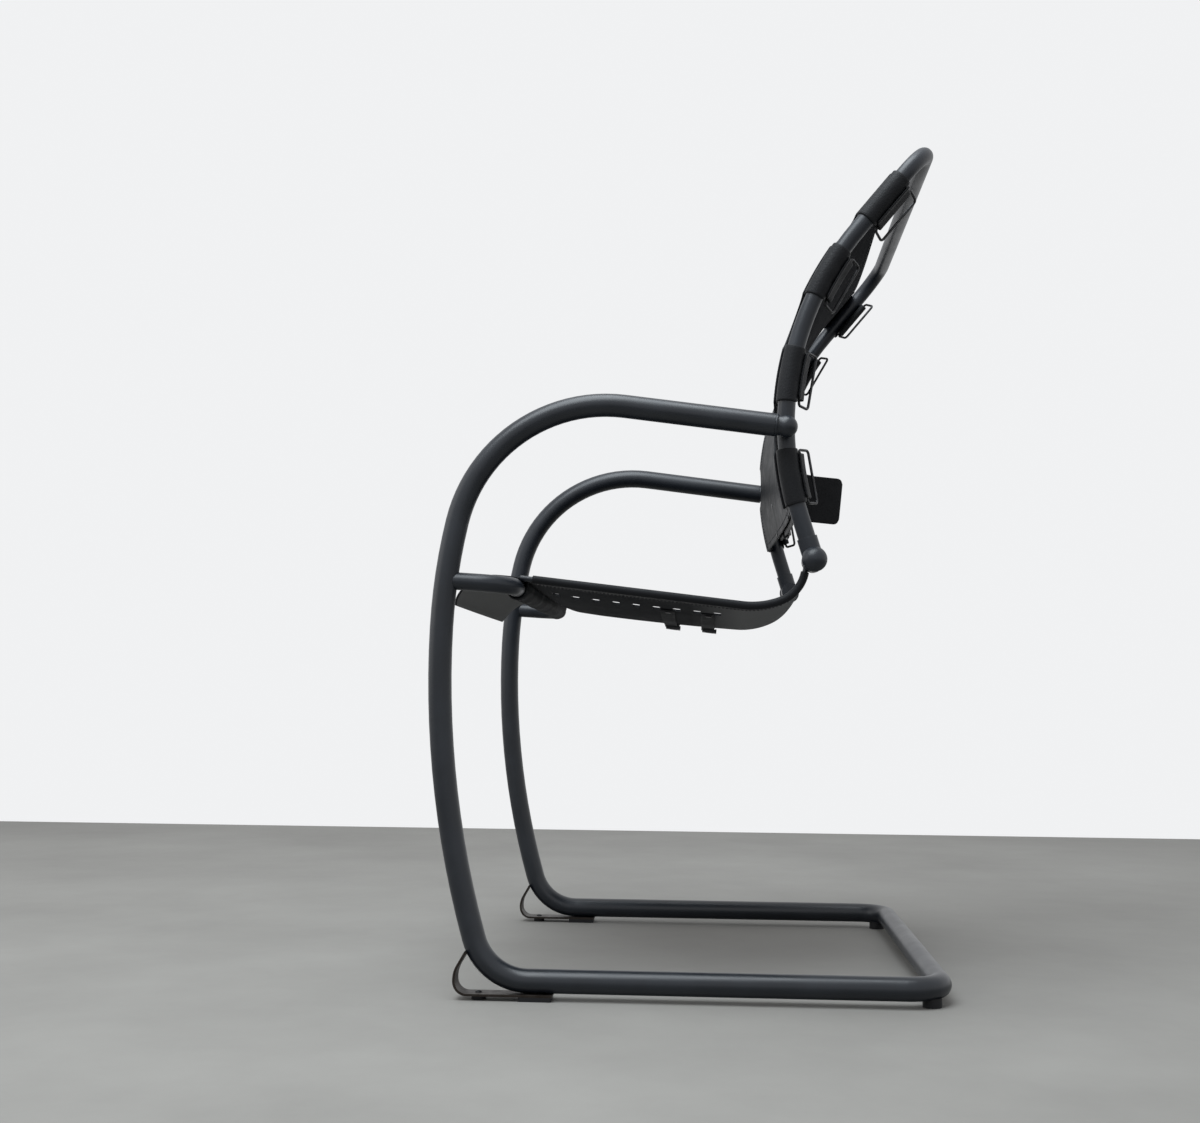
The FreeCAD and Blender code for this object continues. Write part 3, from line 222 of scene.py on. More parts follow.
# Ties under the seat
TIE_DEPTHS = {1: 240.0 * MM, 2: 286.0 * MM}
TIE_REACH = 165.0 * MM
TIE_WIDTH = 15.0 * MM
TIE_LEATHER = 1.6 * MM
TIE_GAP = 0.5 * MM
TIE_WAVE = 0.35 * MM
TIE_WAVE_RATE = 70
TIE_DROOP = 2.4 * MM
TIE_DROOP_HALF = 13.0 * MM
TIE_GRID = (90, 9)
BUCKLE_OFFSET = 60.0 * MM

# Arm ends and strip screws. The ball and the outlines are in millimetres, an outline
# as distances along its axis and radii
ARM_END = (91.844 * MM, 605.950 * MM)
ARM_FALL = 7.44
ARM_OUTLINE = [(-4.0, 10.45), (0.0, 10.45), (0.05, 12.1), (0.35, 12.4), (2.3, 12.4), (2.7, 12.0), (2.9, 10.7)]
ARM_BALL = 12.0
ARM_BALL_AT = 12.4
ARM_BALL_RINGS = 34
STRIP_THICKNESS = 2.5 * MM
SCREW_OUTLINE = [(-0.4, 3.9), (0.3, 3.9), (0.8, 3.6), (1.5, 2.6), (1.9, 1.3), (2.0, 0.3)]

# Stitches: each thread is sunk a little into the leather, and its ends dive deeper
STITCH_PITCH = 4.2 * MM
STITCH_LENGTH = 3.0 * MM
STITCH_AHEAD = 0.2 * MM
THREAD_RADIUS = 0.42 * MM
THREAD_SINK = 0.1 * MM
THREAD_SIDES = 6
# Place along a stitch as a share of its length, and the share of its radius there
THREAD_PROFILE = [(-0.5, 0.25), (-0.4, 0.8), (-0.2, 1.0), (0.2, 1.0), (0.4, 0.8), (0.5, 0.25)]
THREAD_DIVE = 1.4

# A sheet's rim stands out by this share of half its thickness
RIM_ROUND = 0.8
RIM_STEPS = 3
SHARP_ANGLE = math.radians(50)

# Camera, floor and light
IMAGE_WIDTH = 1200
FOCAL_PIXELS = 1542.7
SENSOR = 36.0
CAMERA_PLACE = (1.9174, 0.0268, 0.31735)
CAMERA_YAW = math.radians(-4.22)
CAMERA_PITCH = math.radians(4.96)
CAMERA_ROLL = math.radians(0.495)
FLOOR_FAR = -1.76
FLOOR_REACH = 9.0
BACKDROP = (0.875, 0.882, 0.892, 1)
DAYLIGHT = (0.93, 0.965, 1.0, 1)
DAYLIGHT_STRENGTH = 0.42


class Route:
    """A flat route of straight runs, (length,), and tangent arcs, (radius, degrees)."""

    def __init__(self, start, degrees, steps):
        self.spans = []
        x, y = start
        for step in steps:
            angle = math.radians(degrees)
            if len(step) == 1:
                self.spans.append((x, y, degrees, step[0], 0.0))
                x += step[0] * math.cos(angle)
                y += step[0] * math.sin(angle)
                continue
            radius, turn = step
            length = radius * math.radians(abs(turn))
            bend = math.copysign(1 / radius, turn)
            self.spans.append((x, y, degrees, length, bend))
            end = math.radians(degrees + turn)
            x += (math.sin(end) - math.sin(angle)) / bend
            y += (math.cos(angle) - math.cos(end)) / bend
            degrees += turn
        self.length = sum(span[3] for span in self.spans)

    def at(self, distance):
        """Point and heading, in radians, at a distance; straight on past the ends."""
        for x, y, degrees, length, bend in self.spans:
            if distance <= length:
                break
            distance -= length
        else:
            distance += length
        angle = math.radians(degrees)
        if distance < 0 or bend == 0.0:
            return (x + distance * math.cos(angle), y + distance * math.sin(angle)), angle
        inside = min(distance, length)
        end = angle + inside * bend
        x += (math.sin(end) - math.sin(angle)) / bend
        y += (math.cos(angle) - math.cos(end)) / bend
        over = distance - inside
        return (x + over * math.cos(end), y + over * math.sin(end)), end

    def end(self):
        return self.at(self.length)


BACK_ROUTE = Route(KNUCKLE, BACK_LEAN + BACK_TURN,
                   [(BACK_LOWER_RUN,), (BACK_RADIUS, -BACK_TURN), (BACK_UPPER_RUN,)])
ROD_ROUTE = Route(ROD_START, ROD_SLOPE, ROD_STEPS)
LIP_ROUTE = Route(ROD_ROUTE.at(-LIP_START)[0], 180 + ROD_SLOPE, LIP_STEPS)


def tab_distances():
    """Distance of each tab's middle along the back tube from the knuckle."""
    start = 90 - BACK_LEAN - BACK_TURN
    found = {1: BACK_LOWER_RUN + BACK_RADIUS * math.radians(BACK_TURN) + TOP_TAB_RUN}
    for number, degrees in TABS_ON_BEND.items():
        found[number] = BACK_LOWER_RUN + BACK_RADIUS * math.radians(degrees - start)
    return found


TABS = tab_distances()
PANEL_BOTTOM = TABS[4] - TAB_LENGTH / 2
PANEL_TOP = TABS[1] + TAB_LENGTH / 2


def clamp(value):
    return min(1.0, max(0.0, value))


def smooth_curve(table, spread, scale=1.0):
    """A function of the distance through a table in millimetres, with its corners rounded."""
    places = np.arange(table[0][0], table[-1][0] + 1.0)
    values = np.interp(places, [pair[0] for pair in table], [pair[1] for pair in table])
    kernel = np.exp(-0.5 * (np.arange(-3 * spread, 3 * spread + 1) / spread) ** 2)
    padded = np.pad(values, 3 * spread, mode="edge")
    values = np.convolve(padded, kernel / kernel.sum(), mode="valid")
    return lambda distance: scale * float(np.interp(distance / MM, places, values))


# Meshes

def mesh_object(name, verts, faces, smooth=True):
    mesh = bpy.data.meshes.new(name)
    mesh.from_pydata([tuple(vert) for vert in verts], [], faces)
    mesh.validate()
    mesh.polygons.foreach_set("use_smooth", [smooth] * len(mesh.polygons))
    mesh.update()
    obj = bpy.data.objects.new(name, mesh)
    bpy.context.scene.collection.objects.link(obj)
    return obj


def sharpen(obj):
    """Keeps the sharp edges of an otherwise smooth mesh crisp."""
    obj.data.set_sharp_from_angle(angle=SHARP_ANGLE)


def apply_modifiers(obj):
    graph = bpy.context.evaluated_depsgraph_get()
    mesh = bpy.data.meshes.new_from_object(obj.evaluated_get(graph))
    obj.modifiers.clear()
    obj.data = mesh


def cut_away(obj, cutter):
    """Applies a boolean difference and removes the cutter."""
    modifier = obj.modifiers.new("cut", "BOOLEAN")
    modifier.object = cutter
    modifier.operation = "DIFFERENCE"
    modifier.solver = "EXACT"
    apply_modifiers(obj)
    bpy.data.objects.remove(cutter)


def grid_normals(points):
    """Unit normals of a grid of points, rows by columns."""
    along = np.gradient(points, axis=0)
    across = np.gradient(points, axis=1)
    normals = np.cross(across, along)
    return normals / np.linalg.norm(normals, axis=2, keepdims=True)


def grid_edge(rows, columns):
    """The places round the edge of a grid, in order."""
    edge = [(0, j) for j in range(columns - 1)]
    edge += [(i, columns - 1) for i in range(rows - 1)]
    edge += [(rows - 1, j) for j in range(columns - 1, 0, -1)]
    edge += [(i, 0) for i in range(rows - 1, 0, -1)]
    return edge


def thick_sheet(name, points, thickness):
    """A sheet of leather: a grid of points with a thickness and rounded rims.

    The faces of its low side have material index 1.
    """
    points = np.asarray(points, float)
    rows, columns = points.shape[:2]
    normals = grid_normals(points)
    half = thickness / 2
    top = (points + normals * half).reshape(-1, 3)
    low = (points - normals * half).reshape(-1, 3)
    verts = [*top, *low]
    size = rows * columns
    faces = []
    for i in range(rows - 1):
        for j in range(columns - 1):
            a = i * columns + j
            quad = (a, a + 1, a + columns + 1, a + columns)
            faces.append(quad)
            faces.append(tuple(size + corner for corner in reversed(quad)))
    edge = grid_edge(rows, columns)
    rings = [[i * columns + j for i, j in edge]]
    count = len(edge)
    centre = [points[i, j] for i, j in edge]
    for step in range(1, RIM_STEPS + 1):
        angle = math.pi * step / (RIM_STEPS + 1)
        ring = []
        for k, (i, j) in enumerate(edge):
            tangent = centre[(k + 1) % count] - centre[k - 1]
            outward = np.cross(normals[i, j], tangent)
            outward = -outward / (np.linalg.norm(outward) + 1e-12)
            ring.append(len(verts))
            verts.append(points[i, j] + normals[i, j] * half * math.cos(angle)
                         + outward * half * math.sin(angle) * RIM_ROUND)
        rings.append(ring)
    rings.append([size + i * columns + j for i, j in edge])
    for first, second in zip(rings, rings[1:]):
        for k in range(count):
            after = (k + 1) % count
            faces.append((first[after], first[k], second[k], second[after]))
    obj = mesh_object(name, verts, faces)
    quads = 2 * (rows - 1) * (columns - 1)
    under = [index % 2 if index < quads else 0 for index in range(len(obj.data.polygons))]
    obj.data.polygons.foreach_set("material_index", under)
    return obj


def stitch(middle, along, normal):
    """Points and faces of one thread, laid along a surface."""
    side = np.cross(along, normal)
    verts, faces = [], []
    for share, width in THREAD_PROFILE:
        lift = (THREAD_RADIUS - THREAD_SINK) - THREAD_RADIUS * THREAD_DIVE * (2 * share) ** 2
        spot = middle + along * share * STITCH_LENGTH + normal * lift
        for turn in range(THREAD_SIDES):
            angle = 2 * math.pi * turn / THREAD_SIDES
            outward = side * math.cos(angle) + normal * math.sin(angle)
            verts.append(spot + outward * THREAD_RADIUS * width)
    last = (len(THREAD_PROFILE) - 1) * THREAD_SIDES
    for ring in range(0, last, THREAD_SIDES):
        for turn in range(THREAD_SIDES):
            a = ring + turn
            b = ring + (turn + 1) % THREAD_SIDES
            faces.append((a, a + THREAD_SIDES, b + THREAD_SIDES, b))
    faces.append(tuple(range(THREAD_SIDES)))
    faces.append(tuple(last + turn for turn in reversed(range(THREAD_SIDES))))
    return verts, faces


def stitch_row(name, points, normals):
    """A row of short threads along a line of points on a surface."""
    points = np.asarray(points, float)
    normals = np.asarray(normals, float)
    steps = np.linalg.norm(np.diff(points, axis=0), axis=1)
    travel = np.concatenate([[0.0], np.cumsum(steps)])
    count = max(1, int(travel[-1] / STITCH_PITCH))

    def read(source, where):
        return np.array([np.interp(where, travel, source[:, axis]) for axis in range(3)])

    verts, faces = [], []
    for k in range(count):
        where = (k + 0.5) * travel[-1] / count
        middle = read(points, where)
        along = read(points, where + STITCH_AHEAD) - middle
        along /= np.linalg.norm(along) + 1e-12
        normal = read(normals, where)
        normal -= along * np.dot(normal, along)
        normal /= np.linalg.norm(normal) + 1e-12
        new_verts, new_faces = stitch(middle, along, normal)
        faces += [tuple(len(verts) + corner for corner in face) for face in new_faces]
        verts += new_verts
    return mesh_object(name, verts, faces)


def turned(name, outline, start, axis, steps=72):
    """A turned piece: an outline, in millimetres, taken round an axis."""
    aside = Vector((1, 0, 0))
    upward = axis.cross(aside).normalized()
    verts = []
    for distance, radius in outline:
        for step in range(steps):
            angle = 2 * math.pi * step / steps
            outward = aside * math.cos(angle) + upward * math.sin(angle)
            verts.append(start + axis * distance * MM + outward * radius * MM)
    last = (len(outline) - 1) * steps
    faces = [tuple(reversed(range(steps)))]
    for first in range(0, last, steps):
        for step in range(steps):
            after = (step + 1) % steps
            faces.append((first + step, first + after, first + steps + after, first + steps + step))
    faces.append(tuple(last + step for step in range(steps)))
    obj = mesh_object(name, verts, faces)
    sharpen(obj)
    return obj


def finish_piece(obj, material, replaced=(), under=None):
    """Dresses a piece, with another material for its under side if it has one."""
    faces = obj.data.polygons
    sides = [face.material_index for face in faces]
    obj.data.materials.clear()
    obj.data.materials.append(material)
    if under:
        obj.data.materials.append(under)
        faces.foreach_set("material_index", sides)
    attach(obj, "chair")
    if replaced:
        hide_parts(*replaced)


def finish_stitches(name, points, normals):
    finish_piece(stitch_row(name, points, normals), THREAD)


# Materials

class Nodes:
    """A short way to write a node material."""

    def __init__(self, name):
        self.material = bpy.data.materials.new(name)
        self.material.use_nodes = True
        self.tree = self.material.node_tree
        self.shader = self.tree.nodes["Principled BSDF"]
        self.coords = self.add("ShaderNodeTexCoord").outputs["Object"]

    def add(self, kind, **inputs):
        """A new node. A value that is no setting of the node goes to its socket."""
        node = self.tree.nodes.new(kind)
        for key, value in inputs.items():
            if hasattr(node, key) and key not in node.inputs:
                setattr(node, key, value)
            else:
                self.put(node, key.replace("_", " "), value)
        return node

    def put(self, node, socket, value):
        if isinstance(value, bpy.types.NodeSocket):
            self.tree.links.new(value, node.inputs[socket])
        else:
            node.inputs[socket].default_value = value

    def set(self, **values):
        for key, value in values.items():
            self.put(self.shader, key.replace("_", " "), value)

    def noise(self, scale, detail=3.0, roughness=0.5):
        return self.add("ShaderNodeTexNoise", Vector=self.coords, Scale=scale, Detail=detail,
                        Roughness=roughness).outputs["Fac"]

    def cells(self, scale, feature="F1"):
        return self.add("ShaderNodeTexVoronoi", feature=feature, Vector=self.coords,
                        Scale=scale).outputs["Distance"]

    def ramp(self, value, low, high, start, end):
        """Maps a value from low..high to start..end, clamped."""
        node = self.add("ShaderNodeMapRange", Value=value)
        node.clamp = True
        for socket, number in zip(("From Min", "From Max", "To Min", "To Max"), (low, high, start, end)):
            self.put(node, socket, number)
        return node.outputs["Result"]

    def blend(self, share, first, second):
        """Mixes two colours, each a socket or its red, green and blue."""
        node = self.add("ShaderNodeMix")
        node.data_type = "RGBA"
        self.put(node, 0, share)
        for index, colour in ((6, first), (7, second)):
            if not isinstance(colour, bpy.types.NodeSocket):
                colour = (*colour, 1.0)
            self.put(node, index, colour)
        return node.outputs[2]

    def bump(self, height, distance, strength=1.0, below=None):
        node = self.add("ShaderNodeBump", Height=height, Strength=strength, Distance=distance)
        if below is not None:
            self.put(node, "Normal", below)
        return node.outputs["Normal"]

    def rounded(self, radius):
        node = self.add("ShaderNodeBevel", Radius=radius)
        node.samples = 4
        return node.outputs["Normal"]


def leather_material(name, dark, light, gloss, shine, wrinkles=0.0):
    """Black hide: fine pebbles, soft creases, and paler where it is worn."""
    nodes = Nodes(name)
    creases = nodes.noise(scale=48.0, detail=4.0, roughness=0.62)
    patches = nodes.noise(scale=9.0, detail=2.0)
    pores = nodes.cells(scale=1150.0)
    pebbles = nodes.cells(scale=620.0, feature="SMOOTH_F1")
    tint = nodes.blend(nodes.ramp(patches, 0.35, 0.7, 0.0, 1.0), dark, light)
    greying = nodes.add("ShaderNodeNewGeometry").outputs["Pointiness"]
    worn = nodes.blend(nodes.ramp(greying, 0.54, 0.66, 0.0, 0.35), tint, RUBBED)
    surface = nodes.bump(creases, distance=0.0009, strength=0.5)
    if wrinkles:
        folds = nodes.cells(scale=330.0, feature="DISTANCE_TO_EDGE")
        furrows = nodes.ramp(folds, 0.0, 0.25, 0.0, 1.0)
        surface = nodes.bump(furrows, distance=0.0003, strength=wrinkles, below=surface)
    surface = nodes.bump(pebbles, distance=0.00016, strength=0.55, below=surface)
    surface = nodes.bump(pores, distance=0.00009, strength=0.5, below=surface)
    nodes.set(Base_Color=worn, Roughness=nodes.ramp(creases, 0.3, 0.75, gloss - 0.06, gloss + 0.1),
              Normal=surface, Specular_IOR_Level=shine)
    return nodes.material


def flesh_material(name, dark, light, greying=None):
    """The hide's under side: matt and fibrous. Given greying, it is painted greyer along y towards its front
    and rear: painted floor-bounce light, with some wear.
    """
    nodes = Nodes(name)
    fibres = nodes.noise(scale=900.0, detail=6.0, roughness=0.75)
    felted = nodes.noise(scale=130.0, detail=5.0, roughness=0.7)
    patches = nodes.noise(scale=12.0, detail=3.0, roughness=0.6)
    mottle = nodes.add("ShaderNodeMath", operation="MULTIPLY_ADD")
    nodes.put(mottle, 0, felted)
    nodes.put(mottle, 1, 0.5)
    nodes.put(mottle, 2, nodes.ramp(patches, 0.35, 0.7, 0.0, 0.6))
    tint = nodes.blend(mottle.outputs["Value"], dark, light)
    if greying:
        front, rear, grey = greying
        # Painted light: grey ahead of the front place and past the rear place along y, standing for light
        # from the floor's bounce, with some wear
        depth = nodes.add("ShaderNodeSeparateXYZ", Vector=nodes.coords).outputs["Y"]
        tint = nodes.blend(nodes.ramp(depth, front - 10 * MM, front + 10 * MM, 0.75, 0.0), tint, grey)
        tint = nodes.blend(nodes.ramp(depth, rear - 60 * MM, rear, 0.0, 0.6), tint, grey)
    surface = nodes.bump(felted, distance=0.0005, strength=0.5)
    surface = nodes.bump(fibres, distance=0.00018, strength=0.7, below=surface)
    nodes.set(Base_Color=tint, Roughness=0.88, Normal=surface, Specular_IOR_Level=0.015)
    return nodes.material


def painted_material(name, colour, gloss, scuff=0.0):
    """Powder coat: a fine even texture, with faint scuffs."""
    nodes = Nodes(name)
    grit = nodes.noise(scale=2600.0, detail=2.0)
    orange_peel = nodes.noise(scale=520.0, detail=2.0)
    cloudy = nodes.noise(scale=14.0, detail=3.0, roughness=0.6)
    pale = tuple(channel * 1.5 + 0.004 for channel in colour)
    tint = nodes.blend(nodes.ramp(cloudy, 0.4, 0.75, 0.0, 0.5 + scuff), colour, pale)
    surface = nodes.bump(orange_peel, distance=0.00005, strength=0.5, below=nodes.rounded(0.0006))
    surface = nodes.bump(grit, distance=0.00003, strength=0.5, below=surface)
    nodes.set(Base_Color=tint, Roughness=nodes.ramp(cloudy, 0.3, 0.8, gloss - 0.04, gloss + 0.08),
              Normal=surface, Specular_IOR_Level=0.46)
    return nodes.material


def metal_material(name, colour, gloss, stain, drawn=0.0):
    """Bare or blackened steel with a little tarnish."""
    nodes = Nodes(name)
    tarnish = nodes.noise(scale=90.0, detail=4.0, roughness=0.65)
    fine = nodes.noise(scale=1600.0, detail=2.0)
    tint = nodes.blend(nodes.ramp(tarnish, 0.42, 0.7, 0.0, 0.8), colour, stain)
    surface = nodes.bump(fine, distance=0.00003 + drawn, strength=0.4, below=nodes.rounded(0.0004))
    nodes.set(Base_Color=tint, Metallic=0.85, Normal=surface,
              Roughness=nodes.ramp(tarnish, 0.3, 0.8, gloss - 0.05, gloss + 0.15))
    return nodes.material


def plain_material(name, colour, gloss):
    """Moulded black nylon or thread."""
    nodes = Nodes(name)
    fine = nodes.noise(scale=1400.0, detail=2.0)
    tint = nodes.blend(fine, colour, tuple(channel * 1.6 for channel in colour))
    nodes.set(Base_Color=tint, Roughness=gloss, Normal=nodes.bump(fine, distance=0.00005, strength=0.5),
              Specular_IOR_Level=0.25)
    return nodes.material


RUBBED = (0.050, 0.050, 0.052)
# Painted light on the seat's underside: grey ahead of the cross tube and towards the rear, for the floor's
# bounce light, with some wear
SEAT_PAINTED_LIGHT_AND_WEAR = (FRONT_LINE + CROSS_DEPTH, 60 * MM, (0.250, 0.252, 0.254))
LEATHER = leather_material("leather_black", (0.0095, 0.0102, 0.0120), (0.0150, 0.0158, 0.0182), 0.50, 0.13)
FLESH = flesh_material("leather_flesh", (0.0160, 0.0168, 0.0190), (0.0300, 0.0308, 0.0335))
SEAT_FLESH = flesh_material("leather_flesh_seat", (0.0230, 0.0240, 0.0265), (0.0520, 0.0530, 0.0560),
                            SEAT_PAINTED_LIGHT_AND_WEAR)
UNDER = leather_material("leather_under", (0.0110, 0.0116, 0.0132), (0.0230, 0.0238, 0.0262), 0.66, 0.05,
                         wrinkles=0.35)
STRAP = leather_material("leather_strap", (0.0085, 0.0091, 0.0107), (0.0135, 0.0142, 0.0163), 0.54, 0.19,
                         wrinkles=0.35)
PAINT = painted_material("frame_black", (0.0078, 0.0108, 0.0165), 0.39)
RUNNER_PAINT = painted_material("frame_black_runner", (0.0084, 0.0111, 0.0160), 0.36, scuff=0.3)
WIRE = metal_material("ring_wire", (0.055, 0.056, 0.060), 0.36, (0.030, 0.028, 0.027))
SPRING = metal_material("spring_strip", (0.036, 0.030, 0.026), 0.46, (0.020, 0.015, 0.012), drawn=0.00002)
ZINC = metal_material("fastener", (0.34, 0.34, 0.35), 0.38, (0.20, 0.19, 0.18))
RIVET = metal_material("rivet_black", (0.040, 0.040, 0.043), 0.40, (0.022, 0.021, 0.021))
NYLON = plain_material("glide_black", (0.009, 0.009, 0.010), 0.58)
THREAD = plain_material("thread_black", (0.026, 0.027, 0.030), 0.62)

SLOT_MATERIALS = {"frame_black": PAINT, "leather_black": LEATHER, "ring_wire": WIRE, "spring_strip": SPRING,
                  "fastener": ZINC, "rivet_black": RIVET, "glide_black": NYLON}


def dress_nodes():
    """Gives every CAD node the material of its slot, and the frame its scuffed paint."""
    slots = {entry["node"]: entry["material_slot"] for entry in frame["record"]["subparts"]}
    for name, obj in frame["nodes"].items():
        material = SLOT_MATERIALS[slots[name]]
        if name.startswith("main_frame"):
            material = RUNNER_PAINT
        obj.data.materials.clear()
        obj.data.materials.append(material)


# Seat

sag_share = smooth_curve(SAG_SHARES, spread=4)
half_width = smooth_curve(HALF_WIDTHS, spread=3, scale=MM)


def rod_distance(depth):
    """Distance along the rods of a place this far behind the chair's front line."""
    return (depth - ROD_DEPTH) / math.cos(math.radians(ROD_SLOPE))


def seat_line(distance):
    """Point and upward normal of the seat's line between the rods."""
    if distance >= -LIP_START:
        point, angle = ROD_ROUTE.at(distance)
    else:
        point, angle = LIP_ROUTE.at(-distance - LIP_START)
        angle += math.pi
    return point, (-math.sin(angle), math.cos(angle))


def seat_height(x, distance):
    """Height of the sheet's middle over the rods' line."""
    return -SEAT_SAG * sag_share(distance) * (1 - (x / HALF_RODS) ** 2)


def over_line(x, distance, height):
    """A place this high over the seat's line."""
    point, normal = seat_line(distance)
    return (x, point[0] + normal[0] * height, point[1] + normal[1] * height)


def seat_point(x, distance, lift=0.0):
    return over_line(x, distance, seat_height(x, distance) + lift)


def lip_roll(x, distance):
    """The lip's free edge droops a little more between its corners."""
    ahead = max(0.0, (-distance - LIP_DROOP_START) / LIP_DROOP_RUN)
    return -LIP_DROOP * ahead ** 2 * (1 - (x / LIP_DROOP_HALF) ** 2)


def seat_grid():
    rows = []
    for distance in np.linspace(SEAT_FRONT, SEAT_REAR, SEAT_GRID[0]):
        half = half_width(distance)
        rows.append([seat_point(x, distance, lip_roll(x, distance))
                     for x in np.linspace(-half, half, SEAT_GRID[1])])
    return rows


def slot_ring(centre, up):
    """Low and top outline of a cutter: a rectangle with round corners, long along X."""
    across = Vector((1, 0, 0))
    along = up.cross(across).normalized()
    ring = []
    for end, edge, start in ((1, 1, 0), (-1, 1, 90), (-1, -1, 180), (1, -1, 270)):
        for step in range(CORNER_STEPS + 1):
            angle = math.radians(start + 90 * step / CORNER_STEPS)
            ring.append(across * (end * (SLOT_LONG / 2 - SLOT_CORNER) + SLOT_CORNER * math.cos(angle))
                        + along * (edge * (SLOT_WIDE / 2 - SLOT_CORNER) + SLOT_CORNER * math.sin(angle)))
    low = [centre + point - up * CUTTER_HEIGHT / 2 for point in ring]
    top = [centre + point + up * CUTTER_HEIGHT / 2 for point in ring]
    return low, top


def slot_cutters():
    """One mesh of all cutters, each square to the sheet where it cuts."""
    verts, faces = [], []
    for side in SIDES.values():
        for index in range(SLOT_COUNT):
            distance = rod_distance(SLOT_FIRST + index * SLOT_PITCH)
            x = side * SLOT_SIDE
            normal = seat_line(distance)[1]
            slope = 2 * SEAT_SAG * sag_share(distance) * x / HALF_RODS ** 2
            up = Vector((-slope, *normal)).normalized()
            low, top = slot_ring(Vector(seat_point(x, distance)), up)
            base = len(verts)
            count = len(low)
            verts += low + top
            faces.append(tuple(base + k for k in reversed(range(count))))
            faces.append(tuple(base + count + k for k in range(count)))
            for k in range(count):
                after = (k + 1) % count
                faces.append((base + k, base + after, base + count + after, base + count + k))
    return mesh_object("slot_cutters", verts, faces, False)


def make_seat():
    """The sling with its slots, its hems and the stitches along its lip."""
    sheet = thick_sheet("seat_sling", seat_grid(), SEAT_LEATHER)
    cut_away(sheet, slot_cutters())
    sheet.data.polygons.foreach_set("use_smooth", [True] * len(sheet.data.polygons))
    sharpen(sheet)
    finish_piece(sheet, LEATHER, ["seat_leather"], under=SEAT_FLESH)
    widths = [2 * half_width(distance) for distance in np.linspace(SEAT_FRONT, SEAT_REAR, 200)]
    for name, side in SIDES.items():
        make_hem(name, side)
    distance = SEAT_FRONT + LIP_STITCH_INSET
    points = [seat_point(x, distance, lip_roll(x, SEAT_FRONT) + SEAT_LEATHER / 2)
              for x in np.linspace(-LIP_STITCH_HALF, LIP_STITCH_HALF, 60)]
    normals = [(0, *seat_line(distance)[1])] * len(points)
    finish_stitches("seat_lip_stitches", points, normals)


def hem_section(distance, side):
    """The hem's line in its section: over the rod from above and back below."""
    stack = SEAT_LEATHER / 2 + HEM_LEATHER / 2
    around = ROD_RADIUS + HEM_LEATHER / 2 + HEM_CLEAR

    def layer(x, sign):
        share = clamp((x - HEM_RISES) / (HALF_RODS - HEM_RISES))
        ease = share * share * (3 - 2 * share)
        return x, (seat_height(x, distance) + sign * stack) * (1 - ease) + sign * around * ease

    points = [layer(x, 1) for x in np.linspace(HEM_INNER, HALF_RODS, HEM_COLUMNS)]
    for angle in np.linspace(math.pi / 2, -math.pi / 2, HEM_TURN_STEPS + 1)[1:-1]:
        points.append((HALF_RODS + around * math.cos(angle), around * math.sin(angle)))
    points += [layer(x, -1) for x in np.linspace(HALF_RODS, HEM_INNER + HEM_SHORT, HEM_COLUMNS)]
    return [(side * x, height) for x, height in points]


def make_hem(name, side):
    distances = np.linspace(HEM_START, HEM_END, HEM_ROWS)
    rows = [[over_line(x, distance, height) for x, height in hem_section(distance, side)]
            for distance in distances]
    hem = thick_sheet(f"seat_hem_{name}", rows, HEM_LEATHER)
    finish_piece(hem, LEATHER)
    stack = SEAT_LEATHER / 2 + HEM_LEATHER
    x = side * (HEM_INNER + HEM_STITCH_INSET)
    inside = [distance for distance in distances if distance < SEAT_REAR - HEM_STITCH_END]
    for where, sign in (("top", 1), ("under", -1)):
        points = [seat_point(x, distance, sign * stack) for distance in inside]
        normals = [Vector((0, *seat_line(distance)[1])) * sign for distance in inside]
        finish_stitches(f"seat_hem_stitches_{where}_{name}", points, normals)


def make_front_sleeve():
    """The seat's leather taken round under the cross tube, a little wrinkled."""
    centre = (FRONT_LINE + CROSS_DEPTH, CROSS_HEIGHT)
    seed = random.Random(7)
    waves = []
    for _ in range(SLEEVE_WAVES):
        waves.append((seed.uniform(*WAVE_RATES), seed.uniform(0, 6.28), seed.uniform(*WAVE_HEIGHTS) * MM))
    rows = []
    for x in np.linspace(-SLEEVE_HALF, SLEEVE_HALF, SLEEVE_GRID[0]):
        row = []
        inward = SLEEVE_HALF - abs(x)
        cuff = CUFF_RISE * max(0.0, 1 - inward / CUFF_LENGTH) * math.sin(inward / MM * CUFF_RATE)
        for degrees in np.linspace(SLEEVE_FROM, SLEEVE_TO, SLEEVE_GRID[1]):
            ripple = sum(size * math.sin(x * rate + phase + degrees * WAVE_LEAN)
                         for rate, phase, size in waves)
            flare = max(0.0, degrees - 360) / (SLEEVE_TO - 360) * SLEEVE_FLARE
            radius = CROSS_TUBE / 2 + SLEEVE_LEATHER / 2 + SLEEVE_GAP
            radius += ripple * WAVE_SHARE + cuff + flare
            angle = math.radians(degrees)
            row.append((x, centre[0] + radius * math.cos(angle), centre[1] + radius * math.sin(angle)))
        rows.append(row)
    sleeve = thick_sheet("seat_front_sleeve", rows, SLEEVE_LEATHER)
    finish_piece(sleeve, UNDER)


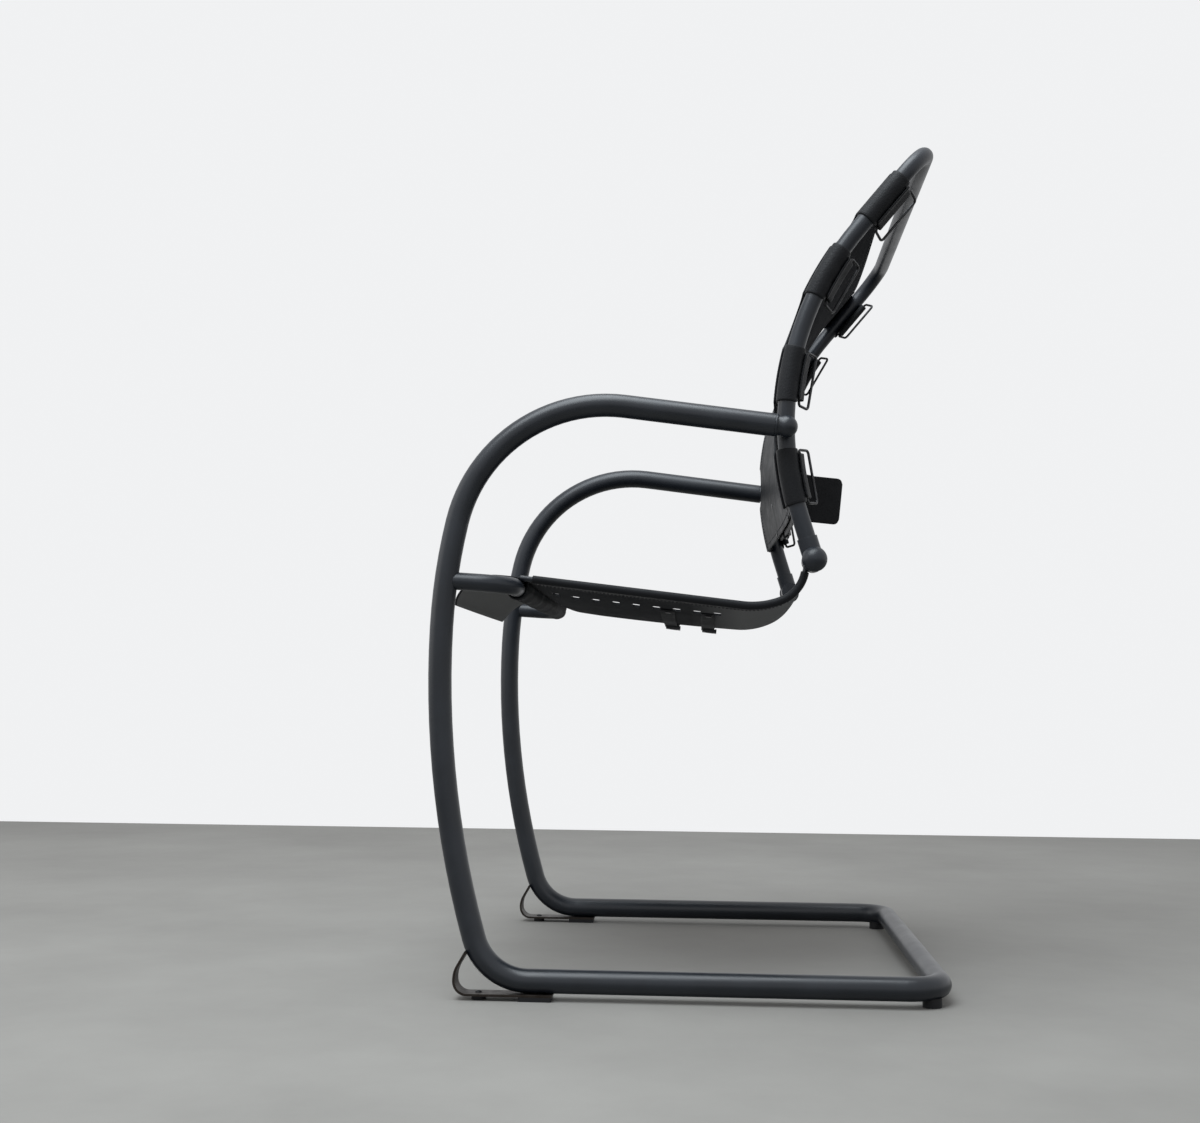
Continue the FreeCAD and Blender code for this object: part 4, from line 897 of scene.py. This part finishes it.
def make_ties():
    """Leather ties across the seat's underside, each threaded through its buckle."""
    under = -SEAT_LEATHER / 2 - TIE_GAP - TIE_LEATHER / 2
    for number, depth in TIE_DEPTHS.items():
        distance = rod_distance(depth)
        rows = []
        for x in np.linspace(-TIE_REACH, TIE_REACH, TIE_GRID[0]):
            wave = TIE_WAVE * math.sin(x * TIE_WAVE_RATE + number)
            droop = -TIE_DROOP * math.exp(-((x + BUCKLE_OFFSET) / TIE_DROOP_HALF) ** 2)
            rows.append([seat_point(x, distance + step, under + wave + droop)
                         for step in np.linspace(-TIE_WIDTH / 2, TIE_WIDTH / 2, TIE_GRID[1])])
        tie = thick_sheet(f"seat_tie_strap_{number}", rows, TIE_LEATHER)
        finish_piece(tie, UNDER, [f"seat_tie_{number}"])


# Back

def back_frame_at(distance):
    """Point, upward direction and forward normal of the back tube's line."""
    point, angle = BACK_ROUTE.at(distance)
    along = Vector((0, math.cos(angle), math.sin(angle)))
    forward = Vector((0, -along.z, along.y))
    return Vector((0, point[0], point[1])), along, forward


def panel_half_width(distance):
    """Half width of the back leather, with a scallop between each two tabs."""
    for upper, lower in ((1, 2), (2, 3), (3, 4)):
        gap = TABS[upper] - TABS[lower] - TAB_LENGTH
        away = abs(distance - (TABS[upper] + TABS[lower]) / 2) / (gap / 2)
        if away < 1:
            return PANEL_HALF - SCALLOP * math.sqrt(1 - away ** 2) ** SCALLOP_POWER
    return PANEL_HALF


def panel_height(x, distance):
    """Height of the sheet's middle in front of the tubes' plane, with soft pulls at the tabs."""
    height = PANEL_LIFT - (BACK_SAG + TAB_LEATHER) * (1 - (x / PANEL_HALF) ** 2)
    inward = (PANEL_HALF - abs(x)) / PULL_STEP
    if 0 < inward < PULL_STEPS:
        reach = PULL_HALF + PULL_WIDENS * inward
        pull = sum(math.exp(-((distance - middle) / reach) ** 2) for middle in TABS.values())
        height += PULL_RISE * (pull - 0.5) * inward * math.exp(-inward * PULL_FADE)
    return height


def panel_point(x, distance, lift=0.0):
    point, _, forward = back_frame_at(distance)
    spot = point + forward * (panel_height(x, distance) + lift)
    return (x, spot.y, spot.z)


def panel_span(x):
    """Where the panel starts and ends along the tubes at this place across it."""
    share = 1 - min(1.0, (x / PANEL_HALF) ** 2)
    return PANEL_BOTTOM + BOTTOM_DIP * share, PANEL_TOP - TOP_DIP * share


def panel_grid():
    rows = []
    for share in np.linspace(0, 1, PANEL_GRID[0]):
        row = []
        for place in np.linspace(-1, 1, PANEL_GRID[1]):
            x = PANEL_HALF * place
            bottom, top = panel_span(x)
            distance = bottom + (top - bottom) * share
            squeeze = (PANEL_HALF - panel_half_width(distance)) * abs(place) ** PINCH_POWER
            row.append(panel_point(x - math.copysign(squeeze, place), distance))
        rows.append(row)
    return rows


def make_panel():
    """The back leather, with stitches along its lower and upper edge."""
    panel = thick_sheet("back_panel", panel_grid(), BACK_LEATHER)
    finish_piece(panel, LEATHER, ["back_leather"], under=FLESH)
    for name, inset, which in (("bottom", PANEL_STITCH_END, 0), ("top", -PANEL_STITCH_END, 1)):
        for face, sign in (("front", 1), ("rear", -1)):
            points, normals = [], []
            for x in np.linspace(-PANEL_STITCH_HALF, PANEL_STITCH_HALF, 90):
                distance = panel_span(x)[which] + inset
                points.append(panel_point(x, distance, sign * BACK_LEATHER / 2))
                normals.append(back_frame_at(distance)[2] * sign)
            finish_stitches(f"back_{name}_stitches_{face}", points, normals)


# Tabs

def fold_run(radius, thickness, close):
    """Straight run from a turn back to the strip, which ends LAYER_GAP clear of it."""
    angle = math.radians(close)
    rise = 2 * radius - (thickness + LAYER_GAP) - (radius + FOLD_SETTLE) * (1 - math.cos(angle))
    return rise / math.sin(angle)


def tab_route():
    """Section of a tab: x is outboard and y forward of the tube's centre."""
    around = BACK_TUBE / 2 + TAB_LEATHER / 2
    fold = RING_WIRE / 2 + RING_PLAY + TAB_LEATHER / 2
    slope = 2 * (BACK_SAG + TAB_LEATHER) / PANEL_HALF
    degrees = math.degrees(slope)
    start = (-PANEL_EDGE - TAB_OVERLAP, around - TAB_OVERLAP * math.tan(slope))
    steps = [(TAB_OVERLAP / math.cos(slope) - TAB_EASE,), (2 * TAB_EASE / slope, -degrees),
             (PANEL_EDGE - TAB_EASE,), (around, -180), (FOLD_REACH,), (fold, 180 + TAB_CLOSE),
             (fold_run(fold, TAB_LEATHER, TAB_CLOSE),), (FOLD_SETTLE, -TAB_CLOSE), (FOLD_TAIL,)]
    return Route(start, degrees, steps)


def tab_point(side, distance, x, y):
    """Place of a point of the tab's section, at a distance along the tube."""
    point, _, forward = back_frame_at(distance)
    return point + Vector((side * (HALF_BACK + x), 0, 0)) + forward * y


def tab_grid(route, side, number, middle):
    wrap_end = TAB_OVERLAP + PANEL_EDGE + math.pi * (BACK_TUBE + TAB_LEATHER) / 2
    phase = random.Random(number * 10 + side).uniform(0, 6.28)
    rows = []
    for share in np.linspace(-1, 1, TAB_GRID[0]):
        row = []
        for distance in np.linspace(0, route.length, TAB_GRID[1]):
            (x, y), angle = route.at(distance)
            past = clamp((distance - wrap_end + NARROW_EARLY) / NARROW_RUN)
            half = TAB_LENGTH / 2 * (1 - past) + TAB_FOLD / 2 * past
            near = math.exp(-((distance - wrap_end) / RIPPLE_REACH) ** 2)
            ripple = RIPPLE * math.sin(share * RIPPLE_ANGLE + phase) * near
            x -= math.sin(angle) * ripple
            y += math.cos(angle) * ripple
            row.append(tuple(tab_point(side, middle + share * half, x, y)))
        rows.append(row)
    return rows


def make_tab_stitches(route, name, side, number, middle):
    """A row on the tab's fold, and the rows that hold it under the back leather."""
    (x, y), angle = route.at(route.length - TAB_STITCH_INSET)
    out = Vector((-math.sin(angle) * side, 0, 0))
    points, normals = [], []
    for distance in middle + TAB_STITCH_SHARES * TAB_FOLD / 2:
        face = out + back_frame_at(distance)[2] * math.cos(angle)
        points.append(tab_point(side, distance, x, y) + face * TAB_LEATHER / 2)
        normals.append(face)
    finish_stitches(f"tab_stitches_outer_{name}_{number}", points, normals)
    distances = middle + TAB_STITCH_SHARES * TAB_LENGTH / 2
    for label, inset in PANEL_STITCH_INSETS.items():
        x = side * (PANEL_HALF - inset)
        points = [panel_point(x, distance, BACK_LEATHER / 2) for distance in distances]
        normals = [back_frame_at(distance)[2] for distance in distances]
        finish_stitches(f"panel_stitches_{label}_{name}_{number}", points, normals)


def make_tabs():
    route = tab_route()
    for name, side in SIDES.items():
        for number, middle in TABS.items():
            tab = thick_sheet(f"tab_{name}_{number}", tab_grid(route, side, number, middle), TAB_LEATHER)
            finish_piece(tab, STRAP, [f"back_tab_{name}_{number}"])
            make_tab_stitches(route, name, side, number, middle)


# Lumbar strap, in a section where x runs to the sitter's right and y forward

def strap_circle():
    """Radius of the strap's line across the back, and where it crosses the middle."""
    radius = (PANEL_HALF ** 2 + BACK_SAG ** 2) / (2 * BACK_SAG)
    behind = BACK_TUBE / 2 - BACK_SAG - STRAP_GAP - STRAP_LEATHER / 2
    return radius + STRAP_GAP + STRAP_LEATHER / 2, behind


def place_start(held, degrees, lead, radius, sense):
    """Start and first steps of a strap that is doubled round the wire at held."""
    run = fold_run(radius, STRAP_LEATHER, STRAP_CLOSE)
    steps = [(lead,), (FOLD_SETTLE, -sense * STRAP_CLOSE), (run,)]
    (x, y), heading = Route((0, 0), degrees, steps).end()
    centre = (x - math.sin(heading) * sense * radius, y + math.cos(heading) * sense * radius)
    steps.append((radius, sense * (180 + STRAP_CLOSE)))
    return (held[0] - centre[0], held[1] - centre[1]), steps


def strip(name, route, node, corner, bow=0.0, droop=0.0):
    """A strap of the strap's width, whose flap may bow and droop towards its free end."""
    root = route.at(route.length - STRAP_FLAP)[0]
    point, along, forward = back_frame_at(TABS[4])
    half = STRAP_WIDTH / 2
    rows = []
    for distance in np.linspace(0, route.length, int(route.length / STRAP_STEP)):
        (x, y), angle = route.at(distance)
        left = route.length - distance
        short = corner - min(distance, left, corner)
        trim = corner - math.sqrt(corner ** 2 - short ** 2)
        tilt = Matrix.Rotation(droop * clamp((STRAP_FLAP - left) / FLAP_TWIST), 3, "X")
        row = []
        for share in np.linspace(-1, 1, STRAP_COLUMNS):
            up = share * (half - trim)
            rise = bow * (up / half) ** 2 * max(0.0, 1 - left / FLAP_BOW_RUN)
            out = y + rise * math.cos(angle) - root[1]
            spot = point + forward * root[1] + tilt @ (along * up + forward * out)
            row.append((-x + rise * math.sin(angle), spot.y, spot.z))
        rows.append(row)
    finish_piece(thick_sheet(name, rows, STRAP_LEATHER), STRAP, [node])


def make_strap():
    """The strap from its ring to its free flap, and the anchor on the ring's other side."""
    radius, behind = strap_circle()
    fold = RING_WIRE / 2 + RING_PLAY + STRAP_LEATHER / 2
    angle = math.asin(STRAP_FOLD / radius)
    tilt = math.degrees(angle)
    height = behind + radius - math.sqrt(radius ** 2 - STRAP_FOLD ** 2)
    held = (STRAP_FOLD, height - fold)
    start, steps = place_start(held, tilt, STRAP_LEAD, fold, 1)
    sweep = tilt + math.degrees(math.asin((STRAP_TURN - STRAP_BEND) / radius))
    steps += [(radius, -sweep), (STRAP_BEND, 90 + sweep - tilt), (STRAP_FLAP,)]
    strip("lumbar_strap_leather", Route(start, tilt, steps), "lumbar_strap", FLAP_CORNER, FLAP_BOW,
          FLAP_DROOP)
    wide = RING_WIDE - RING_WIRE
    far = (held[0] + wide * math.cos(angle), held[1] + wide * math.sin(angle))
    start, steps = place_start(far, 180 + tilt, ANCHOR_LEAD, fold, -1)
    steps.append((ANCHOR_RUN,))
    strip("lumbar_anchor_leather", Route(start, 180 + tilt, steps), "lumbar_anchor", ANCHOR_CORNER)


# Arm ends and strip screws

def make_arm_ends():
    """Ball ends of the arms: a collar against the tube, a groove and the ball."""
    fall = math.radians(ARM_FALL)
    axis = Vector((0, math.cos(fall), -math.sin(fall)))
    neck = ARM_OUTLINE[-1][1]
    outline = list(ARM_OUTLINE)
    for angle in np.linspace(math.pi - math.asin(neck / ARM_BALL), 0.02, ARM_BALL_RINGS):
        outline.append((ARM_BALL_AT + ARM_BALL * math.cos(angle), ARM_BALL * math.sin(angle)))
    for name, side in SIDES.items():
        end = turned(f"arm_end_{name}", outline, Vector((side * HALF_TRACK, *ARM_END)), axis)
        finish_piece(end, PAINT, [f"arm_end_ball_{name}"])


def make_strip_screws():
    """Round screw heads on the sprung strips, over their front glides."""
    for name in SIDES:
        low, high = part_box(f"front_glide_{name}")
        middle = (low + high) / 2
        place = Vector((middle.x, middle.y, high.z + STRIP_THICKNESS))
        screw = turned(f"strip_screw_{name}", SCREW_OUTLINE, place, Vector((0, 0, 1)), 40)
        finish_piece(screw, RIVET)


# Camera, floor and light

def make_camera():
    data = bpy.data.cameras.new("camera")
    data.sensor_fit = "HORIZONTAL"
    data.sensor_width = SENSOR
    data.lens = SENSOR * FOCAL_PIXELS / IMAGE_WIDTH
    camera = bpy.data.objects.new("camera", data)
    bpy.context.scene.collection.objects.link(camera)
    forward = Vector((-math.cos(CAMERA_PITCH) * math.cos(CAMERA_YAW),
                      math.cos(CAMERA_PITCH) * math.sin(CAMERA_YAW), math.sin(CAMERA_PITCH)))
    level = forward.cross(Vector((0, 0, 1))).normalized()
    upright = level.cross(forward)
    right = level * math.cos(CAMERA_ROLL) + upright * math.sin(CAMERA_ROLL)
    up = upright * math.cos(CAMERA_ROLL) - level * math.sin(CAMERA_ROLL)
    turn = Matrix((right, up, -forward)).transposed()
    camera.matrix_world = Matrix.Translation(CAMERA_PLACE) @ turn.to_4x4()
    bpy.context.scene.camera = camera


def make_floor():
    corners = [(FLOOR_FAR, -FLOOR_REACH, 0), (FLOOR_REACH, -FLOOR_REACH, 0),
               (FLOOR_REACH, FLOOR_REACH, 0), (FLOOR_FAR, FLOOR_REACH, 0)]
    floor = mesh_object("floor", corners, [(0, 1, 2, 3)], False)
    nodes = Nodes("floor")
    mottle = nodes.noise(scale=2.2, detail=6.0, roughness=0.62)
    speck = nodes.noise(scale=160.0, detail=3.0)
    tint = nodes.blend(nodes.ramp(mottle, 0.3, 0.7, 0.0, 1.0), (0.236, 0.226, 0.210), (0.300, 0.288, 0.268))
    nodes.set(Base_Color=tint, Roughness=0.75, Normal=nodes.bump(speck, distance=0.0004, strength=0.3))
    floor.data.materials.append(nodes.material)


def make_world():
    """A pale backdrop for the camera and in reflections, and daylight for all else."""
    world = bpy.data.worlds.new("studio")
    world.use_nodes = True
    bpy.context.scene.world = world
    nodes, links = world.node_tree.nodes, world.node_tree.links
    nodes.clear()

    def background(colour, strength):
        node = nodes.new("ShaderNodeBackground")
        node.inputs["Color"].default_value = colour
        node.inputs["Strength"].default_value = strength
        return node.outputs[0]

    def larger(first, second):
        node = nodes.new("ShaderNodeMath")
        node.operation = "MAXIMUM"
        links.new(first, node.inputs[0])
        links.new(second, node.inputs[1])
        return node.outputs[0]

    path = nodes.new("ShaderNodeLightPath")
    direct = larger(path.outputs["Is Camera Ray"], path.outputs["Is Glossy Ray"])
    mix = nodes.new("ShaderNodeMixShader")
    links.new(larger(direct, path.outputs["Is Transmission Ray"]), mix.inputs[0])
    links.new(background(DAYLIGHT, DAYLIGHT_STRENGTH), mix.inputs[1])
    links.new(background(BACKDROP, 1.0), mix.inputs[2])
    output = nodes.new("ShaderNodeOutputWorld")
    links.new(mix.outputs[0], output.inputs["Surface"])


def make_lamp(name, place, target, size, power, colour):
    data = bpy.data.lights.new(name, "AREA")
    data.shape = "RECTANGLE"
    data.size, data.size_y = size
    data.energy = power
    data.color = colour
    lamp = bpy.data.objects.new(name, data)
    bpy.context.scene.collection.objects.link(lamp)
    lamp.location = place
    lamp.rotation_mode = "QUATERNION"
    lamp.rotation_quaternion = (Vector(target) - Vector(place)).to_track_quat("-Z", "Y")


def make_lights():
    make_lamp("skylight", place=(0.85, -0.5, 2.8), target=(0.2, 0, 0.5), size=(1.7, 2.6), power=92,
              colour=(0.88, 0.95, 1.0))
    make_lamp("doorway", place=(0.6, -3.4, 1.5), target=(0, 0, 0.4), size=(2.2, 2.2), power=14,
              colour=(1.0, 0.99, 0.97))


def main():
    dress_nodes()
    make_camera()
    make_seat()
    make_front_sleeve()
    make_ties()
    make_panel()
    make_tabs()
    make_strap()
    make_arm_ends()
    make_strip_screws()
    make_floor()
    make_world()
    make_lights()
    bpy.context.scene.view_settings.view_transform = "Standard"


main()
